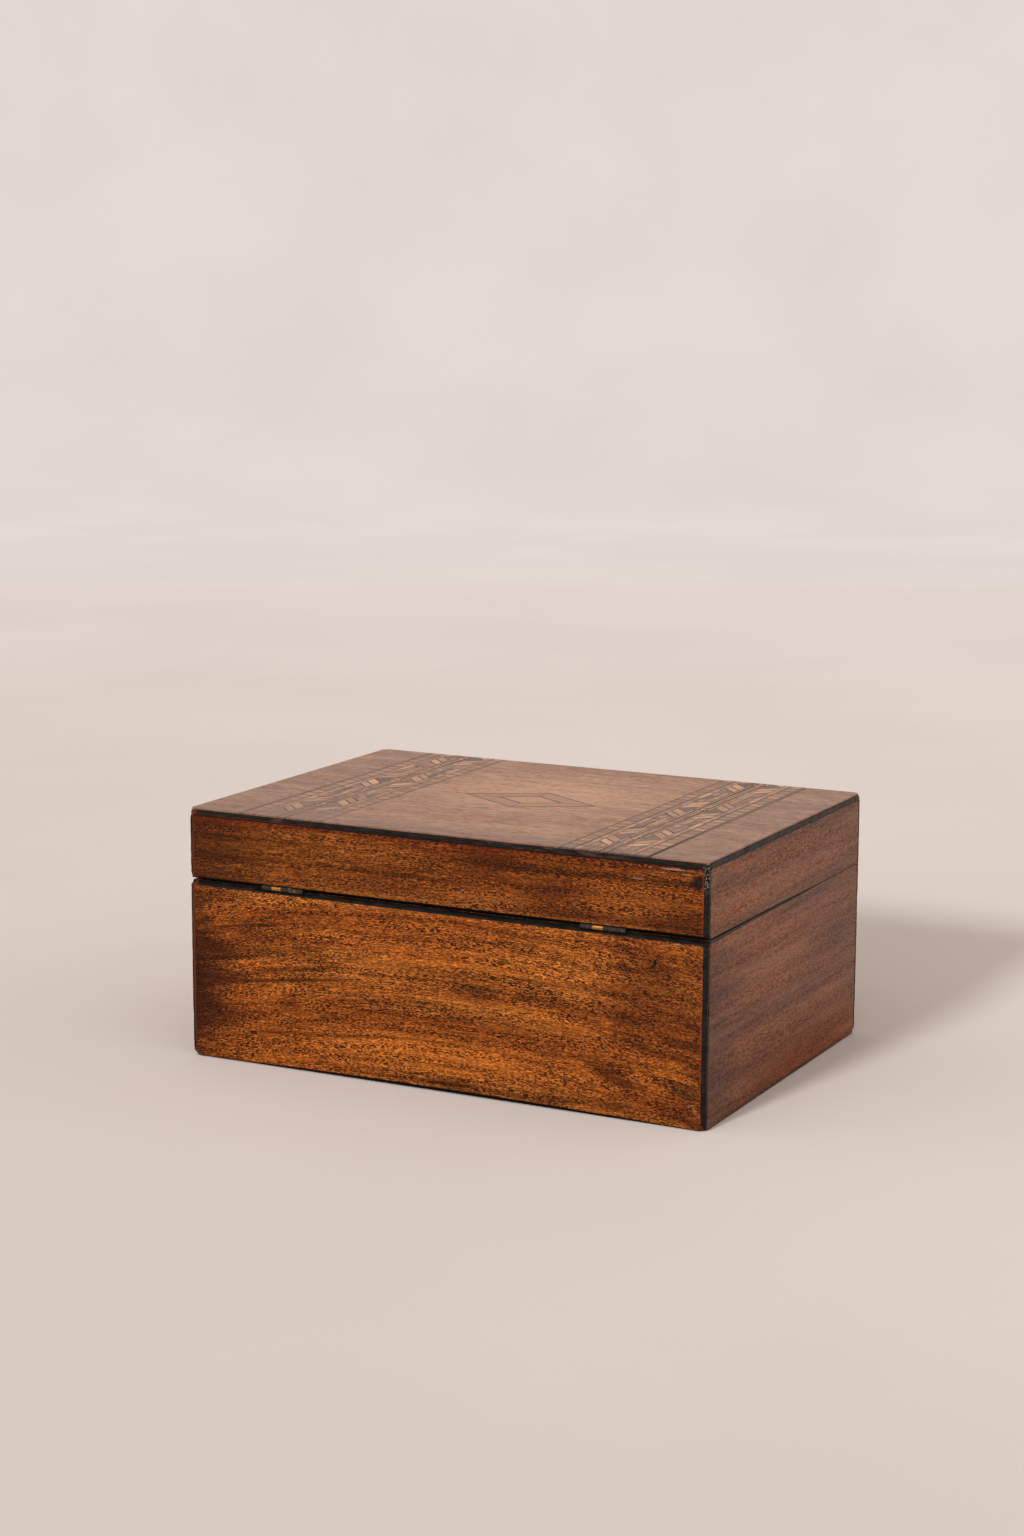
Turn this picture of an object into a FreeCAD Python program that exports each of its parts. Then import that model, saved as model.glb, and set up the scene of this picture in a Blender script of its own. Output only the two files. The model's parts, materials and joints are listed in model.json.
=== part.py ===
import FreeCAD
import Part
import math
import os

# Mahogany box with a hinged lid, ebonised edges, a link lock and parquetry let into the top.
# Millimetres. The origin is in the middle of the underside, +X is to the right seen from the
# front, +Y points to the hinge side and +Z is up.

# Whole box
box_width = 300.0
box_depth = 210.0
box_height = 136.0
rim_height = 96.5
seam_gap_front = 0.25
seam_gap_back = 0.9

# Boards
wall = 9.0
bottom_board = 6.0
top_board = 7.0
veneer = 1.0
veneer_set_back = 0.4
bottom_round = 1.6

# Ebonised strips along the edges
corner_string = 2.6
corner_chamfer = 0.7
corner_string_foot = 3.0
top_string = 3.0
top_string_height = 2.6
rim_string_depth = 3.0
base_rim_string = 2.3
lid_rim_string = 1.6
groove_depth = 2.2
base_groove = 2.0
lid_groove = 1.4

# Hinges
hinge_from_end = 57.0
leaf_length = 25.0
leaf_width = 6.8
leaf_thickness = 1.0
leaf_gap = 0.4
knuckle_count = 5
knuckle_radius = 1.6
knuckle_inset = 1.75
knuckle_play = 0.1
knuckle_room = 0.35
pin_radius = 0.85
pin_running_play = 0.05
pin_seat_play = 0.02
recess_play = 0.1

# Countersunk screws and their holes
screw_head_radius = 1.7
screw_head_depth = 0.8
screw_shank_radius = 0.9
screw_length = 8.0
screw_slot = 0.5
screw_play = 0.05
hinge_screw_spacing = 16.0
hinge_screw_from_axis = 4.0

# Lock
lock_width = 54.0
lock_height = 26.0
lock_sheet = 1.0
lock_skin = 3.0
lock_plate_length = 66.0
lock_plate_edge = 1.5
lock_plate_thickness = 1.4
lock_screw_from_end = 3.0
key_drop = 19.4
key_pin_radius = 1.1
keyhole_radius = 2.4
keyhole_slot = 2.0
keyhole_tail = 7.0
escutcheon_rim = 1.2
escutcheon_depth = 2.5

# Bolt and hooks of the lock
bolt_throw = 5.0
bolt_thickness = 2.8
bolt_bar_height = 4.5
bolt_bar_drop = 15.0
bolt_bar_end = 18.0
bolt_talon_width = 6.0
bolt_talon_depth = 2.0
bolt_post = 3.0
bolt_nose_height = 3.0
hook_places = (-8.0, 14.0)
hook_thickness = 2.4
hook_shank = 3.0
hook_foot = 5.0
hook_foot_height = 2.4
hook_drop = 9.0
hook_play = 0.5

# Nail beside a corner of the lid's back
nail_from_end = 5.2
nail_below_top = 10.6
nail_head_radius = 1.5
nail_head_depth = 0.6
nail_radius = 0.8
nail_length = 18.0

# Parquetry bands across the lid
band_from_end = 57.0
band_width = 49.0
band_line = 0.7
outer_slip = 0.9
border_width = 6.6
border_pitch = 8.4
border_slip = 2.6
glue_line = 0.12
star_pitch = 81.0
first_star_from_back = 40.5
star_half_width = 4.5
star_half_length = 5.0
stripe_slip = 0.6
stripe_slip_place = 2.3
petal_column = 8.5
petal_start = 13.8
petal_length = 8.2
petal_slip = 0.7
outer_petal_length = 7.0
edge_slip_length = 16.0

# Lozenge in the middle of the lid
lozenge_half_width = 39.3
lozenge_half_depth = 23.5
lozenge_core_half_width = 17.7
lozenge_line = 0.7

# Places that follow from these sizes
half_width = box_width / 2
half_depth = box_depth / 2
wall_inside = half_depth - wall
front = -half_depth
veneer_low = box_height - veneer
top_low = veneer_low - top_board
string_low = veneer_low - top_string_height
axis_y = half_depth - knuckle_inset
axis_z = rim_height + seam_gap_back / 2
hinge_places = {"left": hinge_from_end - half_width, "right": half_width - hinge_from_end}
band_places = {"left": band_from_end - half_width, "right": half_width - band_from_end}
plate_low = rim_height - lock_plate_thickness
case_low = plate_low - lock_height
case_front = front + lock_skin
cover_front = -wall_inside - lock_sheet
key_z = rim_height - key_drop
lozenge_core = lozenge_core_half_width / lozenge_half_width
spill = 1.0

nodes = {}


def lid_rim(y):
    """Height of the lid's lower edge, which opens towards the hinges."""
    share = (y + half_depth) / box_depth
    return rim_height + seam_gap_front + (seam_gap_back - seam_gap_front) * share


link_low = lid_rim(-wall_inside)


def block(x0, x1, y0, y1, z0, z1):
    return Part.makeBox(x1 - x0, y1 - y0, z1 - z0, FreeCAD.Vector(x0, y0, z0))


def prism(corners, move):
    """Solid swept along a vector from a flat outline."""
    wire = Part.makePolygon(corners + corners[:1])
    return Part.Face(wire).extrude(move)


def slab(outline, low, high):
    """Upright solid on an outline of (x, y) points."""
    corners = [FreeCAD.Vector(x, y, low) for x, y in outline]
    return prism(corners, FreeCAD.Vector(0, 0, high - low))


def moulding(outline, x0, x1):
    """Solid along X on an outline of (y, z) points."""
    corners = [FreeCAD.Vector(x0, y, z) for y, z in outline]
    return prism(corners, FreeCAD.Vector(x1 - x0, 0, 0))


def rod(radius, start, end):
    way = FreeCAD.Vector(*end) - FreeCAD.Vector(*start)
    return Part.makeCylinder(radius, way.Length, FreeCAD.Vector(*start), way)


def fused(shapes):
    whole = shapes[0]
    for shape in shapes[1:]:
        whole = whole.fuse(shape)
    return whole.removeSplitter()


def without(shape, cutters):
    for cutter in cutters:
        shape = shape.cut(cutter)
    return shape


def corner_columns(low, high):
    """Plan octagon of the box, which carries the chamfers of the upright edges."""
    w, d, c = half_width, half_depth, corner_chamfer
    outline = [
        (w, d - c), (w - c, d), (c - w, d), (-w, d - c),
        (-w, c - d), (c - w, -d), (w - c, -d), (w, c - d),
    ]
    return slab(outline, low, high)


def base_envelope():
    """Outside of the base: chamfered corners and a worn, rounded lower edge."""
    body = block(-half_width, half_width, -half_depth, half_depth, 0, rim_height)
    shape = corner_columns(0, rim_height)
    for along in (FreeCAD.Vector(1, 0, 0), FreeCAD.Vector(0, 1, 0)):
        low_edges = []
        for edge in body.Edges:
            runs_along = abs(edge.tangentAt(edge.FirstParameter).dot(along)) > 0.9
            if runs_along and edge.CenterOfMass.z < bottom_round:
                low_edges.append(edge)
        shape = shape.common(body.makeFillet(bottom_round, low_edges))
    return shape


def lid_envelope():
    return corner_columns(0, box_height)


def below_lid():
    """Everything under the lid's sloping lower edge."""
    outline = [
        (-half_depth - spill, 0), (half_depth + spill, 0),
        (half_depth + spill, lid_rim(half_depth + spill)),
        (-half_depth - spill, lid_rim(-half_depth - spill)),
    ]
    return moulding(outline, -half_width - spill, half_width + spill)


def ring(thickness, low, high):
    """Four mitred strips around the box, named by the side they lie on."""
    w, d = half_width, half_depth
    u, v = half_width - thickness, half_depth - thickness
    return {
        "front": slab([(-w, -d), (w, -d), (u, -v), (-u, -v)], low, high),
        "back": slab([(w, d), (-w, d), (-u, v), (u, v)], low, high),
        "left": slab([(-w, d), (-w, -d), (-u, -v), (-u, v)], low, high),
        "right": slab([(w, -d), (w, d), (u, v), (u, -v)], low, high),
    }


def corner_strings(front_low, back_low, front_high, back_high):
    strips = []
    for x in (-half_width, half_width - corner_string):
        strips.append(block(x, x + corner_string, front, front + corner_string, front_low, front_high))
        back = half_depth - corner_string
        strips.append(block(x, x + corner_string, back, half_depth, back_low, back_high))
    return strips


def countersunk(x, y, z, down, play):
    """Screw body with its head flush at height z; down is -1 into the base and 1 into the lid."""
    head_end = z + down * screw_head_depth
    axis = FreeCAD.Vector(0, 0, down)
    place = FreeCAD.Vector(x, y, z)
    head = Part.makeCone(screw_head_radius + play, screw_shank_radius + play, screw_head_depth, place, axis)
    tip = z + down * (screw_length + play)
    return head.fuse(rod(screw_shank_radius + play, (x, y, head_end), (x, y, tip)))


def screw(x, y, z, down):
    reach = screw_head_radius + spill
    slot_edges = sorted((z, z + down * screw_slot))
    slot = block(x - screw_slot / 2, x + screw_slot / 2, y - reach, y + reach, *slot_edges)
    return countersunk(x, y, z, down, 0).cut(slot)


def knuckle_spans(centre, own):
    """Start and end of the knuckles of one leaf; the base leaf owns the odd ones."""
    pitch = leaf_length / knuckle_count
    spans = []
    for index in range(knuckle_count):
        if (index % 2 == 0) == own:
            start = centre - leaf_length / 2 + index * pitch
            spans.append((start, start + pitch))
    return spans


def hinge_screw_places(centre):
    y = axis_y - hinge_screw_from_axis
    return [(centre - hinge_screw_spacing / 2, y), (centre + hinge_screw_spacing / 2, y)]


def leaf_face(down):
    """Height of a leaf's inner face; down is -1 for the base and 1 for the lid."""
    return axis_z + down * leaf_gap / 2


def hinge_leaf(centre, down):
    own = down < 0
    face = leaf_face(down)
    heights = sorted((face, face + down * leaf_thickness))
    half_leaf = leaf_length / 2
    pieces = [block(centre - half_leaf, centre + half_leaf, axis_y - leaf_width, axis_y, *heights)]
    for start, end in knuckle_spans(centre, own):
        near = start + knuckle_play / 2
        far = end - knuckle_play / 2
        pieces.append(rod(knuckle_radius, (near, axis_y, axis_z), (far, axis_y, axis_z)))
    leaf = fused(pieces)
    notch = knuckle_radius + knuckle_play
    cutters = []
    for start, end in knuckle_spans(centre, not own):
        near = start - knuckle_play / 2
        far = end + knuckle_play / 2
        cutters.append(rod(notch, (near, axis_y, axis_z), (far, axis_y, axis_z)))
    bore = pin_radius + (pin_seat_play if own else pin_running_play)
    reach = leaf_length / 2 + spill
    cutters.append(rod(bore, (centre - reach, axis_y, axis_z), (centre + reach, axis_y, axis_z)))
    for x, y in hinge_screw_places(centre):
        cutters.append(countersunk(x, y, face, down, screw_play))
    return without(leaf, cutters)


def hinge_recess(centre, down):
    """Wood taken out of a rim for one leaf, its screws and the knuckles."""
    face = leaf_face(down)
    reach = leaf_length / 2 + recess_play
    heights = sorted((face + down * leaf_thickness, face - down * spill))
    seat = block(centre - reach, centre + reach, axis_y - leaf_width - recess_play, axis_y, *heights)
    room = knuckle_radius + knuckle_room
    barrel = rod(room, (centre - reach, axis_y, axis_z), (centre + reach, axis_y, axis_z))
    cutters = [seat, barrel]
    for x, y in hinge_screw_places(centre):
        cutters.append(countersunk(x, y, face, down, screw_play))
    return cutters


def hinges():
    for side, centre in hinge_places.items():
        for owner, down in (("base", -1), ("lid", 1)):
            nodes["hinge_%s_%s_leaf" % (side, owner)] = [hinge_leaf(centre, down)]
            places = hinge_screw_places(centre)
            screws = [screw(x, y, leaf_face(down), down) for x, y in places]
            nodes["hinge_%s_%s_screws" % (side, owner)] = screws
        reach = leaf_length / 2
        pin = rod(pin_radius, (centre - reach, axis_y, axis_z), (centre + reach, axis_y, axis_z))
        nodes["hinge_%s_pin" % side] = [pin]


def keyhole(grow, y0, y1):
    """Round hole with a tail for the bit of the key."""
    hole = rod(keyhole_radius + grow, (0, y0, key_z), (0, y1, key_z))
    half_slot = keyhole_slot / 2 + grow
    tail = block(-half_slot, half_slot, y0, y1, key_z - keyhole_tail - grow, key_z)
    return fused([hole, tail])


def lock_plate_screws():
    x = lock_plate_length / 2 - lock_screw_from_end
    y = (front + lock_plate_edge - wall_inside) / 2
    return [(-x, y), (x, y)]


def lock_plate(low):
    reach = lock_plate_length / 2
    return block(-reach, reach, front + lock_plate_edge, -wall_inside, low, low + lock_plate_thickness)


def lock_middle():
    """Middle of the lock's thickness, where the bolt and the hooks run."""
    return (case_front + lock_sheet + cover_front) / 2


def hook_slot(place, play):
    """Room of one hook: its foot points to -X and its shank is centred on the place."""
    left = place - hook_shank / 2 - hook_foot
    right = place + hook_shank / 2
    half = hook_thickness / 2
    middle = lock_middle()
    return left - play, right + play, middle - half - play, middle + half + play


def lock_body():
    half = lock_width / 2
    case = block(-half, half, case_front, cover_front, case_low, plate_low)
    hollow = block(
        lock_sheet - half, half - lock_sheet, case_front + lock_sheet, cover_front,
        case_low + lock_sheet, plate_low,
    )
    case = fused([case.cut(hollow), lock_plate(plate_low)])
    cutters = [keyhole(0, case_front - spill, case_front + lock_sheet + spill)]
    for place in hook_places:
        cutters.append(block(*hook_slot(place, hook_play), plate_low - spill, rim_height + spill))
    for x, y in lock_plate_screws():
        cutters.append(countersunk(x, y, rim_height, -1, screw_play))
    nodes["lock_case"] = [without(case, cutters)]
    nodes["lock_cover"] = [block(-half, half, cover_front, -wall_inside, case_low, plate_low)]
    nodes["lock_key_pin"] = [rod(key_pin_radius, (0, case_front, key_z), (0, cover_front, key_z))]
    nodes["lock_screws"] = [screw(x, y, rim_height, -1) for x, y in lock_plate_screws()]
    mouth = keyhole(escutcheon_rim, front, front + escutcheon_depth)
    nodes["keyhole_escutcheon"] = [mouth.cut(keyhole(0, front - spill, front + escutcheon_depth + spill))]


def lock_recess():
    """Wood taken out of the front wall for the lock."""
    half = lock_width / 2
    cutters = [block(-half, half, case_front, spill - wall_inside, case_low, plate_low)]
    reach = lock_plate_length / 2
    low_edge = front + lock_plate_edge
    cutters.append(block(-reach, reach, low_edge, spill - wall_inside, plate_low, rim_height + spill))
    cutters.append(keyhole(0, front - spill, case_front + spill))
    cutters.append(keyhole(escutcheon_rim, front - spill, front + escutcheon_depth))
    for x, y in lock_plate_screws():
        cutters.append(countersunk(x, y, rim_height, -1, screw_play))
    return cutters


def lock_bolt():
    """Bar with two noses that slide over the feet of the hooks."""
    y0 = lock_middle() - bolt_thickness / 2
    y1 = lock_middle() + bolt_thickness / 2
    bar_low = rim_height - bolt_bar_drop
    bar_high = bar_low + bolt_bar_height
    nose_low = rim_height - hook_drop + hook_foot_height + hook_play
    nose_high = nose_low + bolt_nose_height
    pieces = []
    post_starts = []
    for place in hook_places:
        nose_end = hook_slot(place, hook_play)[0]
        post_end = nose_end - bolt_throw + hook_play / 2
        post_starts.append(post_end - bolt_post)
        pieces.append(block(post_end - bolt_post, post_end, y0, y1, bar_low, nose_high))
        pieces.append(block(post_end - bolt_post, nose_end, y0, y1, nose_low, nose_high))
    pieces.append(block(min(post_starts), bolt_bar_end, y0, y1, bar_low, bar_high))
    half_talon = bolt_talon_width / 2
    talon = block(-half_talon, half_talon, y0, y1, bar_low, bar_low + bolt_talon_depth)
    nodes["lock_bolt"] = [fused(pieces).cut(talon)]


def lock_link():
    """Plate in the lid with the two hooks that drop into the lock."""
    pieces = [lock_plate(link_low)]
    foot_low = rim_height - hook_drop
    for place in hook_places:
        left, right, y0, y1 = hook_slot(place, 0)
        pieces.append(block(right - hook_shank, right, y0, y1, foot_low, link_low + lock_plate_thickness))
        pieces.append(block(left, right, y0, y1, foot_low, foot_low + hook_foot_height))
    cutters = [countersunk(x, y, link_low, 1, screw_play) for x, y in lock_plate_screws()]
    nodes["lock_link_plate"] = [without(fused(pieces), cutters)]
    nodes["lock_link_screws"] = [screw(x, y, link_low, 1) for x, y in lock_plate_screws()]


def link_recess():
    reach = lock_plate_length / 2
    low_edge = front + lock_plate_edge
    high = link_low + lock_plate_thickness
    cutters = [block(-reach, reach, low_edge, spill - wall_inside, link_low - spill, high)]
    for x, y in lock_plate_screws():
        cutters.append(countersunk(x, y, link_low, 1, screw_play))
    return cutters


def nail(play):
    """Nail driven through the lid's back into the end of the left wall."""
    x = nail_from_end - half_width
    z = box_height - nail_below_top
    head = rod(nail_head_radius + play, (x, half_depth, z), (x, half_depth - nail_head_depth, z))
    tip = half_depth - nail_length - play
    return fused([head, rod(nail_radius + play, (x, half_depth, z), (x, tip, z))])


def rim_strings():
    """Outlines of the bevelled strips that make the groove along the hinges."""
    inner = half_depth - rim_string_depth
    apex = half_depth - groove_depth
    base = [
        (inner, rim_height - base_rim_string), (half_depth, rim_height - base_rim_string),
        (half_depth, rim_height - base_groove), (apex, rim_height), (inner, rim_height),
    ]
    lid_edge = lid_rim(half_depth)
    lid = [
        (inner, lid_rim(inner)), (apex, lid_rim(apex)), (half_depth, lid_edge + lid_groove),
        (half_depth, lid_edge + lid_rim_string), (inner, lid_edge + lid_rim_string),
    ]
    return moulding(base, -half_width, half_width), moulding(lid, -half_width, half_width)


def base_carcass(hinge_cutters):
    outside = base_envelope()
    string_top = rim_height - base_rim_string
    strings = corner_strings(corner_string_foot, corner_string_foot, rim_height, string_top)
    rebate = block(
        -half_width, half_width, half_depth - rim_string_depth, half_depth, string_top, rim_height,
    )
    for side, board in ring(wall, bottom_board, rim_height).items():
        cutters = strings + [rebate]
        if side == "back":
            cutters = cutters + hinge_cutters
        if side == "front":
            cutters = cutters + lock_recess()
        nodes["base_%s_board" % side] = [without(board.common(outside), cutters)]
    bottom = block(-half_width, half_width, -half_depth, half_depth, 0, bottom_board)
    nodes["base_bottom_board"] = [without(bottom.common(outside), strings)]
    nodes["base_corner_strings"] = [strip.common(outside) for strip in strings]
    edge = rim_strings()[0].common(outside)
    nodes["base_rim_string"] = [without(edge, hinge_cutters)]


def lid_carcass(hinge_cutters):
    outside = lid_envelope()
    under = below_lid()
    string_start = lid_rim(half_depth) + lid_rim_string
    strings = corner_strings(rim_height, string_start, string_low, string_low)
    rebate = block(
        -half_width, half_width, half_depth - rim_string_depth, half_depth, rim_height, string_start,
    )
    for side, board in ring(wall, rim_height, top_low).items():
        cutters = [under, rebate] + strings
        if side == "back":
            cutters = cutters + hinge_cutters + [nail(screw_play)]
        if side == "front":
            cutters = cutters + link_recess()
        if side == "left":
            cutters = cutters + [nail(screw_play)]
        nodes["lid_%s_board" % side] = [without(board.common(outside), cutters)]
    edges = ring(top_string, string_low, veneer_low)
    top = block(-half_width, half_width, -half_depth, half_depth, top_low, veneer_low)
    nodes["lid_top_board"] = [without(top.common(outside), strings + list(edges.values()))]
    nodes["lid_corner_strings"] = [strip.common(outside).cut(under) for strip in strings]
    nodes["lid_top_strings"] = [strip.common(outside) for strip in edges.values()]
    edge = rim_strings()[1].common(outside)
    nodes["lid_rim_string"] = [without(edge, hinge_cutters)]
    nodes["lid_back_nail"] = [nail(0)]


def trimmed(outline, low, high):
    """Part of a convex outline with its second coordinate between two limits."""
    for limit, sign in ((low, 1), (high, -1)):
        kept = []
        for index, point in enumerate(outline):
            before = outline[index - 1]
            inside = sign * (point[1] - limit) >= 0
            if inside != (sign * (before[1] - limit) >= 0):
                share = (limit - before[1]) / (point[1] - before[1])
                kept.append((before[0] + share * (point[0] - before[0]), limit))
            if inside:
                kept.append(point)
        outline = kept
    return outline


def area(outline):
    total = 0.0
    for index, point in enumerate(outline):
        before = outline[index - 1]
        total += before[0] * point[1] - point[0] * before[1]
    return total / 2


def shrunk(outline, margin):
    """Convex outline, listed anticlockwise, with every side moved inwards."""
    lines = []
    for index, end in enumerate(outline):
        start = outline[index - 1]
        run = (end[0] - start[0], end[1] - start[1])
        length = math.hypot(*run)
        inwards = (-run[1] / length, run[0] / length)
        lines.append((inwards, inwards[0] * start[0] + inwards[1] * start[1] + margin))
    corners = []
    for index, (normal, offset) in enumerate(lines):
        before, before_offset = lines[index - 1]
        cross = before[0] * normal[1] - before[1] * normal[0]
        x = (before_offset * normal[1] - offset * before[1]) / cross
        y = (before[0] * offset - normal[0] * before_offset) / cross
        corners.append((x, y))
    return corners


def tile(outline, band_x):
    """Solid veneer tile; tiles over an end of the band are trimmed and slivers are left out."""
    reach = half_depth - veneer_set_back
    outline = trimmed(outline, -reach, reach)
    smallest = (4 * glue_line) ** 2
    if len(outline) < 3 or abs(area(outline)) < smallest:
        return None
    if area(outline) < 0:
        outline = outline[::-1]
    tight = []
    for index, point in enumerate(outline):
        if math.dist(point, outline[index - 1]) > glue_line:
            tight.append(point)
    inner = shrunk(tight, glue_line / 2)
    return slab([(band_x + x, y) for x, y in inner], veneer_low, box_height)


def mirrored(outline):
    return [(-x, y) for x, y in outline]


def petal_outlines(star, lower, upper, up):
    """Slanting tile between two lines |x| + |y| = constant, on both sides of a star."""
    inner = star_half_width
    outer = star_half_width + petal_column
    outline = [
        (inner, star + up * (lower - inner)), (outer, star + up * (lower - outer)),
        (outer, star + up * (upper - outer)), (inner, star + up * (upper - inner)),
    ]
    return [outline, mirrored(outline)]


def star_tiles(star):
    """Small turned chequer of four lozenges: light at the ends, dark at the sides."""
    w, h = star_half_width, star_half_length
    light, dark = [], []
    for up in (-1, 1):
        half_way = star + up * h / 2
        light.append([(0, star), (w / 2, half_way), (0, star + up * h), (-w / 2, half_way)])
        dark.append([(0, star), (up * w / 2, star + h / 2), (up * w, star), (up * w / 2, star - h / 2)])
    return light, dark


def stripe_outlines(star, start, end):
    """Upright stripe from one star to the next, cut to the slope of the two stars."""
    def point_of(x):
        return star_half_length * (1 - x / star_half_width)
    far_star = star + star_pitch
    outline = [
        (start, star + point_of(start)), (end, star + point_of(end)),
        (end, far_star - point_of(end)), (start, far_star - point_of(start)),
    ]
    return [outline, mirrored(outline)]


def ground_outlines(star, start, end, reach):
    """Upright strip of ground between the petals of two stars."""
    far_star = star + star_pitch
    outline = [
        (start, star + reach - start), (end, star + reach - end),
        (end, far_star - reach + end), (start, far_star - reach + start),
    ]
    return [outline, mirrored(outline)]


def upright_outlines(start, end, low, high):
    outline = [(start, low), (end, low), (end, high), (start, high)]
    return [outline, mirrored(outline)]


def field_outlines(star, half_field):
    """Every tile of the field that belongs to one star and to the ground after it."""
    groups = {"petals": [], "petal_slips": [], "walnut": [], "dark_ground": []}
    groups["star_light"], groups["star_dark"] = star_tiles(star)
    inner = star_half_width
    outer = star_half_width + petal_column
    heart = [
        (inner, star + inner - petal_start), (outer, star + outer - petal_start),
        (outer, star + petal_start - outer), (inner, star + petal_start - inner),
    ]
    groups["petal_slips"] += [heart, mirrored(heart)]
    courses = [
        ("petals", petal_length), ("petal_slips", petal_slip),
        ("petals", outer_petal_length), ("petal_slips", petal_slip),
    ]
    reach = petal_start
    for group, length in courses:
        for up in (-1, 1):
            groups[group] += petal_outlines(star, reach, reach + length, up)
        reach += length
    half_slip = stripe_slip / 2
    groups["walnut"] += stripe_outlines(star, 0, stripe_slip_place - half_slip)
    slip_end = stripe_slip_place + half_slip
    groups["dark_ground"] += stripe_outlines(star, stripe_slip_place - half_slip, slip_end)
    groups["walnut"] += stripe_outlines(star, slip_end, star_half_width)
    middle = (inner + outer) / 2
    groups["walnut"] += ground_outlines(star, inner, middle, reach)
    groups["dark_ground"] += ground_outlines(star, middle, outer, reach)
    half_pitch = star_pitch / 2
    edge_reach = half_pitch - edge_slip_length / 2
    groups["walnut"] += upright_outlines(outer, half_field, star - edge_reach, star + edge_reach)
    far_edge = star + star_pitch - edge_reach
    groups["petals"] += upright_outlines(outer, half_field, star + edge_reach, far_edge)
    return groups


def border_outlines(start, end):
    """Light blocks and dark slips in turn along one border of the band."""
    length = box_depth - 2 * veneer_set_back
    count = round(length / border_pitch)
    pitch = length / count
    light, dark = [], []
    for index in range(count):
        low = index * pitch - length / 2
        light += upright_outlines(start, end, low, low + pitch - border_slip)
        dark += upright_outlines(start, end, low + pitch - border_slip, low + pitch)
    return light, dark


def parquetry_band(side, band_x):
    reach = half_depth - veneer_set_back
    half_band = band_width / 2
    border_end = half_band - band_line
    border_start = border_end - border_width
    half_field = border_start - band_line
    outlines = {"lines": [], "border_light": [], "border_dark": []}
    outlines["lines"] += upright_outlines(border_end, half_band, -reach, reach)
    outlines["lines"] += upright_outlines(half_field, border_start, -reach, reach)
    outlines["border_light"], outlines["border_dark"] = border_outlines(border_start, border_end)
    outer_side = 1 if side == "left" else 0
    slip_end = half_band + outer_slip
    outlines["walnut"] = [upright_outlines(half_band, slip_end, -reach, reach)[outer_side]]
    outlines["lines"] += [upright_outlines(slip_end, slip_end + band_line, -reach, reach)[outer_side]]
    star_count = math.ceil(box_depth / star_pitch) + 1
    for index in range(-1, star_count):
        star = half_depth - first_star_from_back - index * star_pitch
        for group, found in field_outlines(star, half_field).items():
            outlines.setdefault(group, []).extend(found)
    for group, found in outlines.items():
        tiles = [tile(outline, band_x) for outline in found]
        nodes["%s_band_%s" % (side, group)] = [solid for solid in tiles if solid]


def lozenge_outline(scale):
    w = lozenge_half_width * scale
    d = lozenge_half_depth * scale
    return [(w, 0), (0, d), (-w, 0), (0, -d)]


def lozenge_frame(outer, inner):
    """Four mitred strips between two lozenges of one shape."""
    big = lozenge_outline(outer)
    small = lozenge_outline(inner)
    strips = []
    for index in range(4):
        strip = [big[index - 1], big[index], small[index], small[index - 1]]
        strips.append(slab(shrunk(strip, glue_line / 2), veneer_low, box_height))
    return strips


def lozenge():
    slope = math.hypot(lozenge_half_width, lozenge_half_depth)
    line = lozenge_line * slope / (lozenge_half_width * lozenge_half_depth)
    nodes["lozenge_outer_line"] = lozenge_frame(1, 1 - line)
    nodes["lozenge_frame"] = lozenge_frame(1 - line, lozenge_core + line)
    nodes["lozenge_inner_line"] = lozenge_frame(lozenge_core + line, lozenge_core)
    core = shrunk(lozenge_outline(lozenge_core), glue_line / 2)
    nodes["lozenge_centre"] = [slab(core, veneer_low, box_height)]


def top_veneers():
    reach = half_depth - veneer_set_back
    end = half_width - veneer_set_back
    outer = half_width - band_from_end + band_width / 2 + outer_slip + band_line
    inner = half_width - band_from_end - band_width / 2
    outside = lid_envelope()
    left = block(-end, -outer, -reach, reach, veneer_low, box_height)
    right = block(outer, end, -reach, reach, veneer_low, box_height)
    nodes["lid_left_veneer"] = [left.common(outside)]
    nodes["lid_right_veneer"] = [right.common(outside)]
    centre = block(-inner, inner, -reach, reach, veneer_low, box_height)
    nodes["lid_centre_veneer"] = [centre.cut(slab(lozenge_outline(1), veneer_low, box_height))]


base_hinge_cutters = []
lid_hinge_cutters = []
for hinge_x in hinge_places.values():
    base_hinge_cutters += hinge_recess(hinge_x, -1)
    lid_hinge_cutters += hinge_recess(hinge_x, 1)

base_carcass(base_hinge_cutters)
lid_carcass(lid_hinge_cutters)
hinges()
lock_body()
lock_bolt()
lock_link()
top_veneers()
lozenge()
for band_side, place_x in band_places.items():
    parquetry_band(band_side, place_x)

os.makedirs("parts", exist_ok=True)
for name, solids in nodes.items():
    shape = solids[0] if len(solids) == 1 else Part.makeCompound(solids)
    shape.exportStep("parts/%s.step" % name)
    state = "valid" if shape.isValid() else "BAD"
    print(name, len(shape.Solids), "solids", round(shape.Volume, 1), "mm3", state)
print(len(nodes), "nodes")
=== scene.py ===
import json
import math
import random

import bmesh
import bpy
from mathutils import Matrix, Vector, noise

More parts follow.
